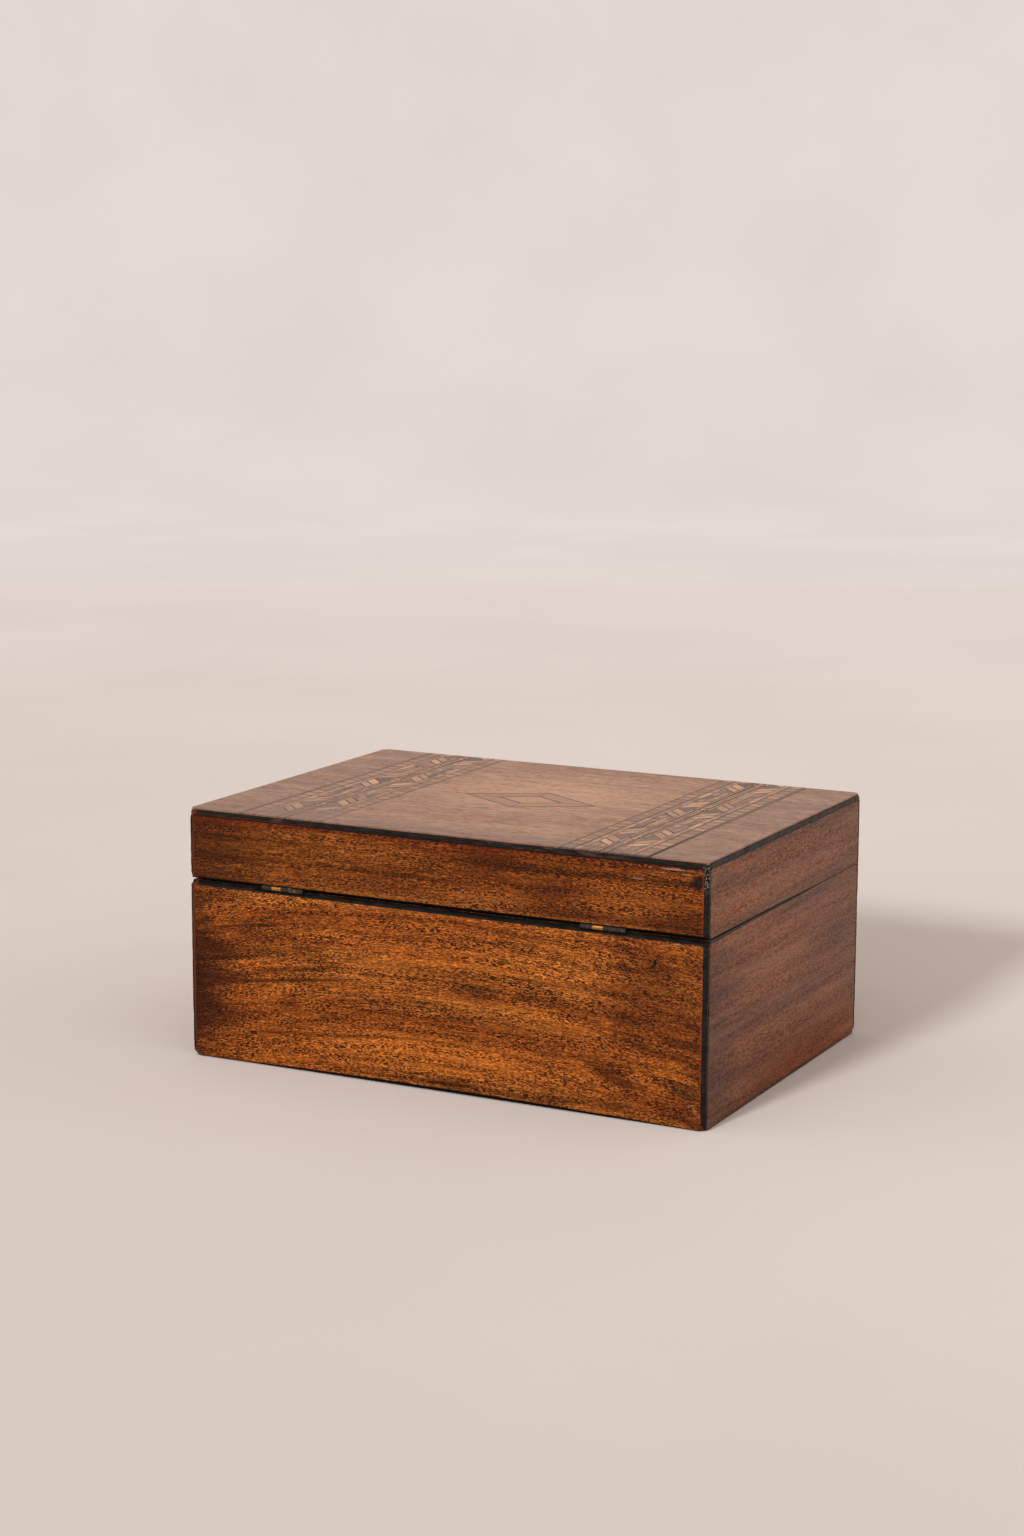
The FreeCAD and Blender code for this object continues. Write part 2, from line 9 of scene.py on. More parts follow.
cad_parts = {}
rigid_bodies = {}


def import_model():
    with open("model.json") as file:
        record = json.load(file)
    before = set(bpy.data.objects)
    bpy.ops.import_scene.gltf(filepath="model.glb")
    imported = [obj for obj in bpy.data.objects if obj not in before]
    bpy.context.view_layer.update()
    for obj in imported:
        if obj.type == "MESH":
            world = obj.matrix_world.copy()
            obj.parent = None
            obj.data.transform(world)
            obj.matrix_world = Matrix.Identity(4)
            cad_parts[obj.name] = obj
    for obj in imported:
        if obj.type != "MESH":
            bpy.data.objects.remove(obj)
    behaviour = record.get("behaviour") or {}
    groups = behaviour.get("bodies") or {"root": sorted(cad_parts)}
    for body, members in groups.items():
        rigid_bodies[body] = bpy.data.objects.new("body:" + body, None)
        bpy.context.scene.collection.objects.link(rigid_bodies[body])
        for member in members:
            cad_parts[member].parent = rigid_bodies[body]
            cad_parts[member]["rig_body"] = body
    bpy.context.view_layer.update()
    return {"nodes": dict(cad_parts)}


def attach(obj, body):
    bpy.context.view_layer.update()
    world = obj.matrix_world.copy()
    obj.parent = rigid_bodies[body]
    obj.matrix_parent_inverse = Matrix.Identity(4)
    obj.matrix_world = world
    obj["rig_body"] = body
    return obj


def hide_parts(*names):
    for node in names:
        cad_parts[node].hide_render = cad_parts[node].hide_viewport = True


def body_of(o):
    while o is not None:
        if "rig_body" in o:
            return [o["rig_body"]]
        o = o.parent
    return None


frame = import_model()
mm = 0.001
boxHalf = Vector((150.0, 105.0, 0.0))  # half width and half depth; the box is in millimetres
boxHeight = 136.0
print("frame loaded:", len(frame["nodes"]), "nodes")


# shader helpers

def tint(red, green, blue):  # a colour as seen on a screen, made linear
    channels = []
    for value in (red, green, blue):
        part = value / 255
        channels.append(part / 12.92 if part <= 0.04045 else ((part + 0.055) / 1.055) ** 2.4)
    return (*channels, 1.0)


def addNode(tree, kind, wires=None, **settings):
    node = tree.nodes.new(kind)
    for key, value in settings.items():
        setattr(node, key, value)
    for key, value in (wires or {}).items():
        if isinstance(value, bpy.types.NodeSocket):
            tree.links.new(value, node.inputs[key])
        else:
            node.inputs[key].default_value = value
    return node


def calc(tree, operation, first, second=0.0):
    return addNode(tree, "ShaderNodeMath", {0: first, 1: second}, operation=operation).outputs[0]


def mapped(tree, vector, scale=(1, 1, 1), shift=(0, 0, 0), turn=(0, 0, 0)):
    wires = {"Vector": vector, "Location": shift, "Rotation": turn, "Scale": scale}
    return addNode(tree, "ShaderNodeMapping", wires).outputs[0]


def cloud(tree, vector, scale, detail=3.0, rough=0.5, bend=0.0):
    spread = mapped(tree, vector, scale)
    wires = {"Vector": spread, "Scale": 1.0, "Detail": detail, "Roughness": rough, "Distortion": bend}
    return addNode(tree, "ShaderNodeTexNoise", wires).outputs[0]


def ramped(tree, value, low, high, bottom=0.0, top=1.0):
    wires = {"Value": value, "From Min": low, "From Max": high, "To Min": bottom, "To Max": top}
    return addNode(tree, "ShaderNodeMapRange", wires, interpolation_type="SMOOTHSTEP").outputs[0]


def mixed(tree, factor, first, second, mode="MIX"):
    wires = {0: factor, 6: first, 7: second}
    return addNode(tree, "ShaderNodeMix", wires, data_type="RGBA", blend_type=mode).outputs[2]


def greyOf(tree, value):
    return addNode(tree, "ShaderNodeCombineColor", {0: value, 1: value, 2: value}).outputs[0]


def attributeOf(tree, name):
    return addNode(tree, "ShaderNodeAttribute", attribute_name=name).outputs["Fac"]


def startMaterial(name):
    material = bpy.data.materials.new(name)
    material.use_nodes = True
    tree = material.node_tree
    tree.nodes.clear()
    coords = addNode(tree, "ShaderNodeTexCoord").outputs["Object"]
    return material, tree, coords


def endMaterial(tree, wires, height, depth, strength):
    bump = addNode(tree, "ShaderNodeBump", {"Height": height, "Distance": depth * mm, "Strength": strength})
    wires["Normal"] = bump.outputs[0]
    shader = addNode(tree, "ShaderNodeBsdfPrincipled", wires)
    addNode(tree, "ShaderNodeOutputMaterial", {"Surface": shader.outputs[0]})


# marks: stains, ink, scuffs and rubbed places, and painted shade, shadows and highlights, each a soft
# ellipsoid with a ragged border

markSet = {"lean": 0.0, "tilt": 0.0, "ragged": 1.0, "core": 0.2}  # unless a mark says otherwise
fleckSet = {"detail": 3.0, "rough": 0.6, "band": (0.54, 0.62)}


def mark(at, size, strength, tone=None, **more):
    return {**markSet, "at": at, "size": size, "strength": strength, "tint": tone, **more}


def spotMask(tree, coords, spot, ragged):
    at = [value * mm for value in spot["at"]]
    size = [value * mm for value in spot["size"]]
    turn = (math.radians(spot["lean"]), math.radians(spot["tilt"]), 0)
    wires = {"Vector": coords, "Location": at, "Rotation": turn, "Scale": size}
    local = addNode(tree, "ShaderNodeMapping", wires, vector_type="TEXTURE").outputs[0]
    away = addNode(tree, "ShaderNodeVectorMath", {0: local}, operation="LENGTH").outputs["Value"]
    loose = calc(tree, "MULTIPLY", calc(tree, "SUBTRACT", ragged, 0.5), spot["ragged"])
    mask = ramped(tree, calc(tree, "ADD", away, loose), 1.0, spot["core"])
    if "fleck" in spot:
        fleck = cloud(tree, coords, spot["fleck"], fleckSet["detail"], fleckSet["rough"])
        mask = calc(tree, "MULTIPLY", mask, ramped(tree, fleck, *fleckSet["band"]))
    return calc(tree, "MULTIPLY", mask, spot["strength"])


def addMarks(tree, coords, colour, marks, ragged):
    for spot in marks:
        colour = mixed(tree, spotMask(tree, coords, spot, ragged), colour, tint(*spot["tint"]))
    return colour


# wood: bands are the stretch of a noise that a feature fades in over

grainSet = {
    "wave": (9, 26, 26), "figureBand": (0.32, 0.66), "glowBand": (0.46, 0.74), "fibreBand": (0.25, 0.75),
    "ragged": (28, 430, 430), "lineBand": (0.5, 0.72), "crowdBand": (0.3, 0.62), "crowdTone": (0.55, 1.0),
    "glintBand": (0.46, 0.64), "glintLift": (2.0, 2.15, 2.2, 1.0), "roughBand": (0.2, 0.8),
    "roughSwing": (-0.05, 0.07), "poreRough": 0.12, "fibreHeight": 0.35, "poreDepth": 0.8,
    "bumpStrength": 0.6,
}


def woodMaterial(name, look):
    material, tree, coords = startMaterial(name)
    turn = (0, 0, math.radians(90)) if look.get("grain", "x") == "y" else (0, 0, 0)
    along = mapped(tree, coords, shift=look.get("shift", (0, 0, 0)), turn=turn)
    wave = cloud(tree, along, grainSet["wave"], detail=2.0)
    lift = calc(tree, "MULTIPLY", calc(tree, "SUBTRACT", wave, 0.5), look["wave"] * mm)
    if "arch" in look:
        across = addNode(tree, "ShaderNodeSeparateXYZ", {0: coords}).outputs[0]
        square = calc(tree, "POWER", calc(tree, "ABSOLUTE", across), 2.0)
        lift = calc(tree, "ADD", lift, calc(tree, "MULTIPLY", square, look["arch"]))
    bent = addNode(tree, "ShaderNodeCombineXYZ", {"Y": lift, "Z": lift}).outputs[0]
    grain = addNode(tree, "ShaderNodeVectorMath", {0: along, 1: bent}, operation="ADD").outputs[0]

    figure = cloud(tree, grain, look["figure"], detail=4.0, rough=0.55)
    figure = ramped(tree, figure, *grainSet["figureBand"])
    glow = cloud(tree, grain, look["glow"], detail=2.0)
    glow = ramped(tree, glow, *grainSet["glowBand"], 0.0, look["glowing"])
    colour = mixed(tree, figure, tint(*look["deep"]), tint(*look["mid"]))
    colour = mixed(tree, glow, colour, tint(*look["light"]))
    fibre = cloud(tree, grain, look["fibre"], detail=5.0, rough=0.62)
    streak = ramped(tree, fibre, *grainSet["fibreBand"], 1.0 - look["fibring"], 1.0 + look["fibring"])
    colour = mixed(tree, 1.0, colour, greyOf(tree, streak), "MULTIPLY")

    ragged = cloud(tree, grain, grainSet["ragged"], detail=4.0, rough=0.65)
    colour = addMarks(tree, coords, colour, look.get("stains", []), ragged)
    line = cloud(tree, grain, look["line"], detail=3.0)
    line = ramped(tree, line, *grainSet["lineBand"], 0.0, look["lining"])
    colour = mixed(tree, line, colour, tint(*look["poreTint"]))
    dash = cloud(tree, grain, look["pore"], detail=2.5, rough=0.6, bend=look["poreBend"])
    crowd = cloud(tree, grain, look["poreGroup"], detail=2.0)
    crowded = ramped(tree, crowd, *grainSet["crowdBand"], *grainSet["crowdTone"])
    poreMask = calc(tree, "MULTIPLY", ramped(tree, dash, *look["poreBand"]), crowded)
    colour = mixed(tree, calc(tree, "MULTIPLY", poreMask, look["poring"]), colour, tint(*look["poreTint"]))

    glint = cloud(tree, grain, look["glint"], detail=2.0)
    glint = ramped(tree, glint, *grainSet["glintBand"], 0.0, look["glinting"])
    lifted = mixed(tree, glint, (1.0, 1.0, 1.0, 1.0), grainSet["glintLift"])
    colour = mixed(tree, 1.0, colour, lifted, "MULTIPLY")
    colour = addMarks(tree, coords, colour, look.get("spots", []), ragged)

    smooth, dull = grainSet["roughSwing"]
    rough = ramped(tree, crowd, *grainSet["roughBand"], look["rough"] + smooth, look["rough"] + dull)
    rough = calc(tree, "ADD", rough, calc(tree, "MULTIPLY", poreMask, grainSet["poreRough"]))
    raised = calc(tree, "MULTIPLY", fibre, grainSet["fibreHeight"])
    height = calc(tree, "SUBTRACT", raised, calc(tree, "MULTIPLY", poreMask, grainSet["poreDepth"]))
    wires = {"Base Color": colour, "Roughness": rough, "Specular IOR Level": look["gloss"]}
    endMaterial(tree, wires, height, look["bump"], grainSet["bumpStrength"])
    return material


mahoganyLook = {
    "deep": (125, 61, 20), "mid": (181, 99, 36), "light": (206, 126, 53),
    "figure": (3.4, 130, 130), "glow": (5, 60, 60), "glowing": 0.5, "wave": 3.0,
    "fibre": (140, 1700, 1700), "fibring": 0.55, "line": (5, 300, 300), "lining": 0.5,
    "pore": (540, 1850, 1850), "poreGroup": (14, 330, 330), "poreBand": (0.46, 0.54), "poreBend": 0.2,
    "poring": 0.96, "poreTint": (36, 11, 1),
    "glint": (420, 1700, 1700), "glinting": 0.55,
    "rough": 0.34, "gloss": 0.1, "bump": 0.06,
}
endLook = {
    "deep": (107, 59, 34), "mid": (149, 86, 47), "light": (179, 113, 63), "figure": (8, 80, 80),
    "glowing": 0.6, "wave": 2.0, "fibring": 0.34, "lining": 0.3, "pore": (360, 1450, 1450), "poring": 0.6,
    "poreTint": (52, 27, 14), "glinting": 0.25, "gloss": 0.22,
}
lidLook = {"deep": (106, 52, 16), "mid": (152, 80, 27), "light": (190, 112, 46)}
stainTint = (52, 22, 10)
# pale scuffs in the polish, partly painted highlight where worn edges near the corners catch the light
scuffAndGlintTint = (196, 158, 132)
# near-black for ink, holes and the strings' bleed, and for the painted shade in the seam and on the rim
inkAndShadeTint = (16, 13, 12)
# near-black of the painted shadow in the seam gap
seamShadeBlack = (4, 3, 3)
rawTint = (150, 56, 18)  # wood laid bare beside the corner strings

# painted shade: a near-black band along the lid seam on the front and the +X end, standing for the shadow in
# the gap
seamPaintedShade = mark((0, 0, 96.7), (400, 400, 1.0), 0.95, inkAndShadeTint, ragged=0.6, core=0.75)
topInk = mark((0, 0, 132.4), (400, 400, 0.7), 0.9, inkAndShadeTint, ragged=1.4, core=0.6)
# painted shadow: dark lines along the bottom edges of the back and the near end, where the box meets the
# floor
footPaintedShadow = mark((-5, 105, 0), (150, 9, 2.9), 1.0, (8, 6, 5), ragged=0.3, core=0.75)
endFootPaintedShadow = mark((-150, 0, 0), (9, 120, 2.2), 0.9, (14, 9, 7), ragged=0.4, core=0.6)

baseBackStains = [
    mark((158, 105, 44), (44, 40, 84), 0.95, stainTint, ragged=0.9),
    mark((128, 105, 46), (40, 40, 5), 0.45, stainTint, ragged=1.5),
    mark((142, 105, 30), (20, 40, 16), 0.4, stainTint, ragged=1.3),
    mark((110, 105, 76), (34, 40, 1.5), 0.7, stainTint, tilt=7, ragged=0.9),
    mark((124, 105, 57.5), (24, 40, 1.6), 0.7, stainTint, tilt=7, ragged=0.9),
    mark((91, 105, 48.5), (60, 40, 1.7), 0.8, stainTint, tilt=7, ragged=0.9),
    mark((89, 105, 36), (13, 40, 8), 0.5, stainTint, ragged=1.6),
    mark((-99, 105, 22), (28, 40, 6), 0.75, stainTint, tilt=-19, ragged=1.5),
    mark((-138, 105, 43.5), (18, 40, 6), 0.65, stainTint, tilt=-8, ragged=1.5),
    mark((-137, 105, 20), (20, 40, 6), 0.6, stainTint, tilt=-8, ragged=1.5),
    mark((-160, 105, 40), (34, 40, 80), 0.6, stainTint, ragged=1.5),
    mark((-108, 105, 51), (16, 40, 5), 0.55, stainTint, ragged=1.5),
    mark((-23, 105, 55), (18, 40, 6), 0.5, stainTint, ragged=1.6),
    mark((100, 105, 62), (60, 40, 4), 0.35, stainTint, ragged=1.6),
    mark((10, 105, 20), (110, 40, 15), 0.7, (212, 120, 46), ragged=1.2),
    mark((75, 105, 56.5), (46, 40, 2.2), 0.6, stainTint, tilt=7, ragged=1.2),
    mark((-11, 105, 41), (11, 40, 1.6), 0.55, stainTint, ragged=1.2),
    mark((-10, 105, 6), (22, 40, 4.5), 0.6, stainTint, ragged=1.4),
    mark((-66, 105, 5), (28, 40, 4), 0.55, stainTint, ragged=1.4),
    mark((-118, 105, 62), (38, 40, 44), 0.6, (92, 40, 14), ragged=1.3),
]
baseBackSpots = [
    mark((-121.8, 105, 82.9), (1.5, 9, 1.3), 1.0, inkAndShadeTint, ragged=0.4, core=0.7),
    mark((-136, 105, 93.5), (16, 9, 2.4), 0.6, scuffAndGlintTint, fleck=(180, 900, 900)),
    mark((-144, 105, 11), (6, 9, 8), 0.35, scuffAndGlintTint, fleck=(300, 700, 700)),
    mark((-146.8, 105, 48), (0.7, 9, 46), 0.55, rawTint, ragged=1.0),
    footPaintedShadow,
]
lidBackStains = [
    mark((152, 105, 115), (72, 40, 60), 0.75, (58, 22, 6), ragged=1.2),
    mark((-68, 105, 113.5), (28, 40, 11), 0.55, (70, 28, 8), ragged=1.5),
    mark((-30, 105, 125), (30, 40, 11), 0.55, (70, 28, 8), ragged=1.5),
    mark((-134, 105, 102), (30, 40, 12), 0.5, (70, 30, 10), ragged=1.5),
    mark((-24, 105, 105), (40, 40, 8), 0.4, (186, 110, 48), ragged=1.5),
    mark((-104, 105, 111), (40, 40, 13), 0.4, (182, 104, 44), ragged=1.3),
    mark((0, 105, 134), (400, 40, 7), 0.75, (92, 26, 8), ragged=1.1),
]
lidBackSpots = [
    mark((-144.8, 105, 125.4), (7, 9, 5.5), 0.95, (26, 12, 7)),
    mark((-146.8, 105, 116), (0.7, 9, 24), 0.6, rawTint, ragged=1.0),
    mark((-133, 105, 130.2), (17, 9, 2.6), 0.8, scuffAndGlintTint, fleck=(160, 900, 900)),
    mark((-112, 105, 124.3), (6, 9, 0.5), 0.5, scuffAndGlintTint, ragged=1.2),
    mark((-131, 105, 130.8), (9, 9, 0.5), 0.7, scuffAndGlintTint, ragged=1.0),
    mark((-138, 105, 129.0), (5, 9, 0.4), 0.6, scuffAndGlintTint, ragged=1.0),
    topInk,
]
endBaseStainsAndSheenTone = [
    # painted light: a saturated orange foot, where the end reflects the shadowed floor and shows less pale
    # sheen
    mark((-150, -24, 4), (40, 116, 32), 0.85, (142, 68, 8), ragged=1.1),
    mark((-150, 96, 40), (40, 34, 60), 0.5, (74, 42, 34), ragged=1.2),
    mark((-150, -100, 60), (40, 40, 60), 0.5, (126, 80, 46), ragged=1.2),
    mark((-150, 30, 80), (40, 70, 9), 0.5, (168, 94, 46), ragged=1.4),
    mark((-150, 14, 58), (40, 60, 22), 0.45, (176, 108, 64), ragged=1.2),
]
cornerInk = mark((-150, 104.2, 48), (9, 2.6, 70), 1.0, inkAndShadeTint, ragged=0.9, core=0.7)
endBaseSpots = [
    mark((-150, 12, 66), (40, 34, 10), 0.5, (44, 24, 14), fleck=(900, 260, 1100)),
    mark((-150, -35, 25.2), (9, 30, 0.5), 0.75, (50, 24, 12), ragged=0.8),
    mark((-150, 75, 6.5), (9, 9, 0.9), 0.85, inkAndShadeTint, ragged=0.5),
    # painted shadow of the seam gap on the end, thickest at the near corner
    mark((-150, 100, 96.6), (9, 46, 2.2), 1.0, seamShadeBlack, ragged=0.4, core=0.85),
    mark((-150, 50, 96.6), (9, 100, 1.3), 1.0, seamShadeBlack, ragged=0.4, core=0.85),
    cornerInk,
    endFootPaintedShadow,
]
endLidStains = [
    mark((-150, -84, 131.5), (9, 20, 4), 0.6, (140, 66, 34)),
    mark((-150, 64, 106), (40, 50, 10), 0.6, (172, 96, 48), ragged=1.3),
    mark((-150, -95, 110), (40, 40, 30), 0.5, (124, 78, 44), ragged=1.2),
]
endLidSpots = [
    mark((-150, -50, 127.2), (9, 58, 0.45), 0.6, (58, 32, 22), lean=3.6, ragged=0.9),
    # painted shadow of the seam gap on the lid's end
    mark((-150, 70, 97.2), (9, 90, 0.7), 0.9, seamShadeBlack, ragged=0.4, core=0.7),
    mark((-150, -25, 112), (40, 28, 8), 0.5, (44, 24, 14), fleck=(900, 260, 1100)),
    mark((-150, -58.5, 123), (9, 1.5, 1.4), 1.0, inkAndShadeTint, ragged=0.4, core=0.7),
    topInk,
]
sideFinish = {
    "base": [
        {"shift": (0.0, 0.0, 0.0), "arch": 0.5, "stains": baseBackStains, "spots": baseBackSpots},
        {"shift": (1.3, 0.0, 0.6), "gloss": 0.2, "spots": [seamPaintedShade]},
        {**endLook, "grain": "y", "shift": (0.7, 0.5, 0.3), "stains": endBaseStainsAndSheenTone, "spots": endBaseSpots},
        {**endLook, "grain": "y", "shift": (2.7, 1.5, 0.4), "spots": [seamPaintedShade]},
    ],
    "lid": [
        {**lidLook, "shift": (0.31, 0.4, 0.22), "stains": lidBackStains, "spots": lidBackSpots},
        {**lidLook, "shift": (1.9, 0.2, 0.1), "gloss": 0.2, "spots": [seamPaintedShade, topInk]},
        {**endLook, "grain": "y", "shift": (2.1, 0.9, 0.8), "stains": endLidStains, "spots": endLidSpots},
        {**endLook, "grain": "y", "shift": (3.3, 1.1, 0.2), "spots": [seamPaintedShade, topInk]},
    ],
}
sideSlot = {"Back": 0, "Front": 1, "Left": 2, "Right": 3, "bare": 4, "paintedShade": 5}  # a board's material slots
bareLook = {
    **mahoganyLook, "deep": (96, 54, 32), "mid": (128, 78, 48), "light": (150, 98, 62),
    "poreTint": (66, 36, 22), "rough": 0.62, "gloss": 0.22, "bump": 0.09,
}
polish = {}
for group, finishes in sideFinish.items():
    polish[group] = []
    for sideName, finish in zip(sideSlot, finishes):
        polish[group].append(woodMaterial(group + sideName + "Mahogany", {**mahoganyLook, **finish}))
# painted shade: black on the bare rim top inside the seam gap
rimPaintedShade = mark((0, 104, 96.5), (400, 6, 3), 0.9, inkAndShadeTint, ragged=0.5, core=0.7)
bareAlongX = woodMaterial("bareMahoganyX", {**bareLook, "spots": [rimPaintedShade]})
bareAlongY = woodMaterial("bareMahoganyY", {**bareLook, "grain": "y", "shift": (0.8, 0.3, 0.5)})
# painted shade: near-black brown wood for the underside, the lower half of the bottom rounding and the
# rebates
paintedShadeLook = {
    **bareLook, "deep": (26, 19, 15), "mid": (38, 28, 21), "light": (50, 37, 28), "poreTint": (14, 10, 8),
    "glinting": 0.0, "gloss": 0.1,
}
paintedShade = woodMaterial("paintedShadeUnderAndRebates", paintedShadeLook)

veneerLook = {
    "deep": (150, 105, 77), "mid": (166, 118, 88), "light": (184, 136, 103),
    "figure": (4, 90, 90), "glow": (9, 45, 45), "glowing": 0.6, "wave": 6.0,
    "fibre": (120, 640, 640), "fibring": 0.4, "line": (34, 450, 450), "lining": 0.4,
    "pore": (230, 900, 900), "poreGroup": (40, 120, 120), "poreBand": (0.52, 0.64), "poreBend": 0.3,
    "poring": 0.6, "poreTint": (92, 62, 48), "glint": (170, 640, 640), "glinting": 0.14,
    "rough": 0.4, "gloss": 0.45, "bump": 0.04,
}
crack = mark((50, 44.5, 136), (23, 0.8, 5), 0.8, (206, 176, 150), ragged=0.9)
# darker towards the top's hinge-side edge
nearEdgeDarker = mark((0, 108, 136), (400, 26, 9), 0.5, (104, 76, 64), ragged=1.0)
# the +X band's hinge-side end is pulled towards a flat mid brown
nearMidBrown = mark((93, 112, 136), (44, 82, 9), 0.85, (134, 98, 80), ragged=0.7)
edgeShade = {**nearEdgeDarker, "tint": (130, 95, 78), "size": (400, 36, 9), "strength": 0.7}
paleMiddle = mark((0, -20, 136), (90, 75, 9), 0.65, (202, 152, 116), ragged=0.9)
sideVeneer = {
    **veneerLook, "deep": (136, 96, 73), "mid": (152, 109, 84), "light": (168, 124, 97),
    "stains": [edgeShade],
}
centreVeneer = {**veneerLook, "stains": [paleMiddle, edgeShade], "spots": [crack]}
veneerFinish = {
    "lid_left_veneer": ("leftVeneer", {**sideVeneer, "shift": (0.4, 0.2, 0.0)}),
    "lid_centre_veneer": ("centreVeneer", centreVeneer),
    "lid_right_veneer": ("rightVeneer", {**sideVeneer, "shift": (0.9, 0.6, 0.0)}),
}
veneers = {}
for nodeName, (finishName, finish) in veneerFinish.items():
    veneers[nodeName] = woodMaterial(finishName, finish)


# inlay tiles carry their own tone, grain direction and dirty edge as attributes

inlayLook = {
    "fibre": (60, 700, 700), "fibreBand": (0.25, 0.75), "fibring": 0.22,
    "pore": (240, 1100, 1100), "poreBand": (0.54, 0.68), "poring": 0.4,
    "dirt": 0.8, "dirtTint": (40, 25, 18), "marks": [nearEdgeDarker, nearMidBrown],
    "rough": 0.4, "roughBand": (0.2, 0.8), "roughSwing": (-0.05, 0.08), "gloss": 0.45,
    "bump": 0.03, "bumpStrength": 0.5,
}
inlayTones = {
    "lightInlay": {"deep": (168, 121, 91), "light": (214, 164, 128), "poreTint": (150, 100, 66)},
    "darkInlay": {"deep": (84, 57, 46), "light": (124, 87, 69), "poreTint": (70, 46, 34)},
    "walnutInlay": {"deep": (124, 88, 69), "light": (190, 140, 106), "poreTint": (98, 66, 49), "dirt": 0.6},
    "borderInlay": {"deep": (138, 98, 74), "light": (182, 134, 102), "poreTint": (116, 77, 55), "dirt": 0.6},
    "groundInlay": {"deep": (88, 62, 51), "light": (170, 124, 96), "poreTint": (84, 57, 44), "dirt": 0.6},
    "slipInlay": {"deep": (128, 90, 69), "light": (150, 108, 84), "poreTint": (90, 60, 45), "dirt": 0.6},
    "lineInlay": {"deep": (88, 63, 51), "light": (108, 78, 62), "poreTint": (52, 37, 30), "dirt": 0.3},
    "fadedLineInlay": {"deep": (116, 85, 70), "light": (132, 97, 79), "poreTint": (52, 37, 30), "dirt": 0.3},
    "lozengeLineInlay": {"deep": (28, 20, 17), "light": (88, 63, 50), "poreTint": (52, 37, 30), "dirt": 0.7},
    "frameInlay": {"deep": (158, 112, 84), "light": (170, 122, 93), "poreTint": (118, 80, 60), "dirt": 0.7},
    "coreInlay": {"deep": (176, 128, 97), "light": (188, 138, 105), "poreTint": (140, 96, 70), "dirt": 0.7},
}


def inlayMaterial(name, look):
    material, tree, coords = startMaterial(name)
    tone = attributeOf(tree, "tileTone")
    wires = {"Vector": coords, "Axis": (0, 0, 1), "Angle": attributeOf(tree, "tileTurn")}
    turned = addNode(tree, "ShaderNodeVectorRotate", wires, rotation_type="AXIS_ANGLE").outputs[0]
    offset = addNode(tree, "ShaderNodeCombineXYZ", {"X": tone, "Z": tone}).outputs[0]
    grain = addNode(tree, "ShaderNodeVectorMath", {0: turned, 1: offset}, operation="ADD").outputs[0]
    fibre = cloud(tree, grain, look["fibre"], detail=5.0, rough=0.62)
    colour = mixed(tree, tone, tint(*look["deep"]), tint(*look["light"]))
    streak = ramped(tree, fibre, *look["fibreBand"], 1.0 - look["fibring"], 1.0 + look["fibring"])
    colour = mixed(tree, 1.0, colour, greyOf(tree, streak), "MULTIPLY")
    dash = cloud(tree, grain, look["pore"], detail=2.0)
    dash = ramped(tree, dash, *look["poreBand"], 0.0, look["poring"])
    colour = mixed(tree, dash, colour, tint(*look["poreTint"]))
    dirt = calc(tree, "MULTIPLY", attributeOf(tree, "tileEdge"), look["dirt"])
    colour = mixed(tree, dirt, colour, tint(*look["dirtTint"]))
    colour = addMarks(tree, coords, colour, look["marks"], fibre)
    smooth, dull = look["roughSwing"]
    rough = ramped(tree, fibre, *look["roughBand"], look["rough"] + smooth, look["rough"] + dull)
    wires = {"Base Color": colour, "Roughness": rough, "Specular IOR Level": look["gloss"]}
    endMaterial(tree, wires, fibre, look["bump"], look["bumpStrength"])
    return material


inlays = {}
for inlayName, tones in inlayTones.items():
    inlays[inlayName] = inlayMaterial(inlayName, {**inlayLook, **tones})


# ebonised strings: black with lighter streaks that are partly painted highlight, worn through to the wood
# where the wear attribute and the rubs say so, with a painted glint on the near corner string

stringRubsAndGlints = [
    mark((147.2, 105, 70), (1.9, 4, 90), 1.0, (92, 42, 16), ragged=0.5, core=0.7),
    mark((120, 105, 132.2), (75, 3, 0.8), 1.0, (84, 34, 13), ragged=0.8, core=0.7),
    mark((149, 105, 135), (4, 4, 4), 1.0, (104, 46, 20), ragged=0.6, core=0.5),
    mark((149, 105, 0), (5, 5, 6), 1.0, (104, 50, 22), ragged=0.6, core=0.5),
    # painted highlight: pale glinting flecks on the near corner string
    mark((-149, 105, 128), (5, 4, 9), 0.7, (196, 188, 180), fleck=(1600, 1600, 1100)),
    mark((-70, 105, 134), (70, 4, 2), 0.6, (96, 66, 50), fleck=(120, 500, 900)),
    mark((-150, 105, 0), (6, 5, 4), 0.9, (104, 54, 28), ragged=0.6, core=0.5),
]
ebonisedLook = {
    "deep": (6, 5, 5), "light": (36, 31, 28), "bare": (98, 56, 34), "patch": (220, 220, 220),
    "streak": (150, 150, 1500), "streakBand": (0.35, 0.7), "wearSpread": 0.9, "wearBand": (0.42, 0.72),
    "rough": (0.34, 0.52), "roughBand": (0.3, 0.7), "gloss": 0.2, "bump": 0.12, "bumpStrength": 0.5,
}


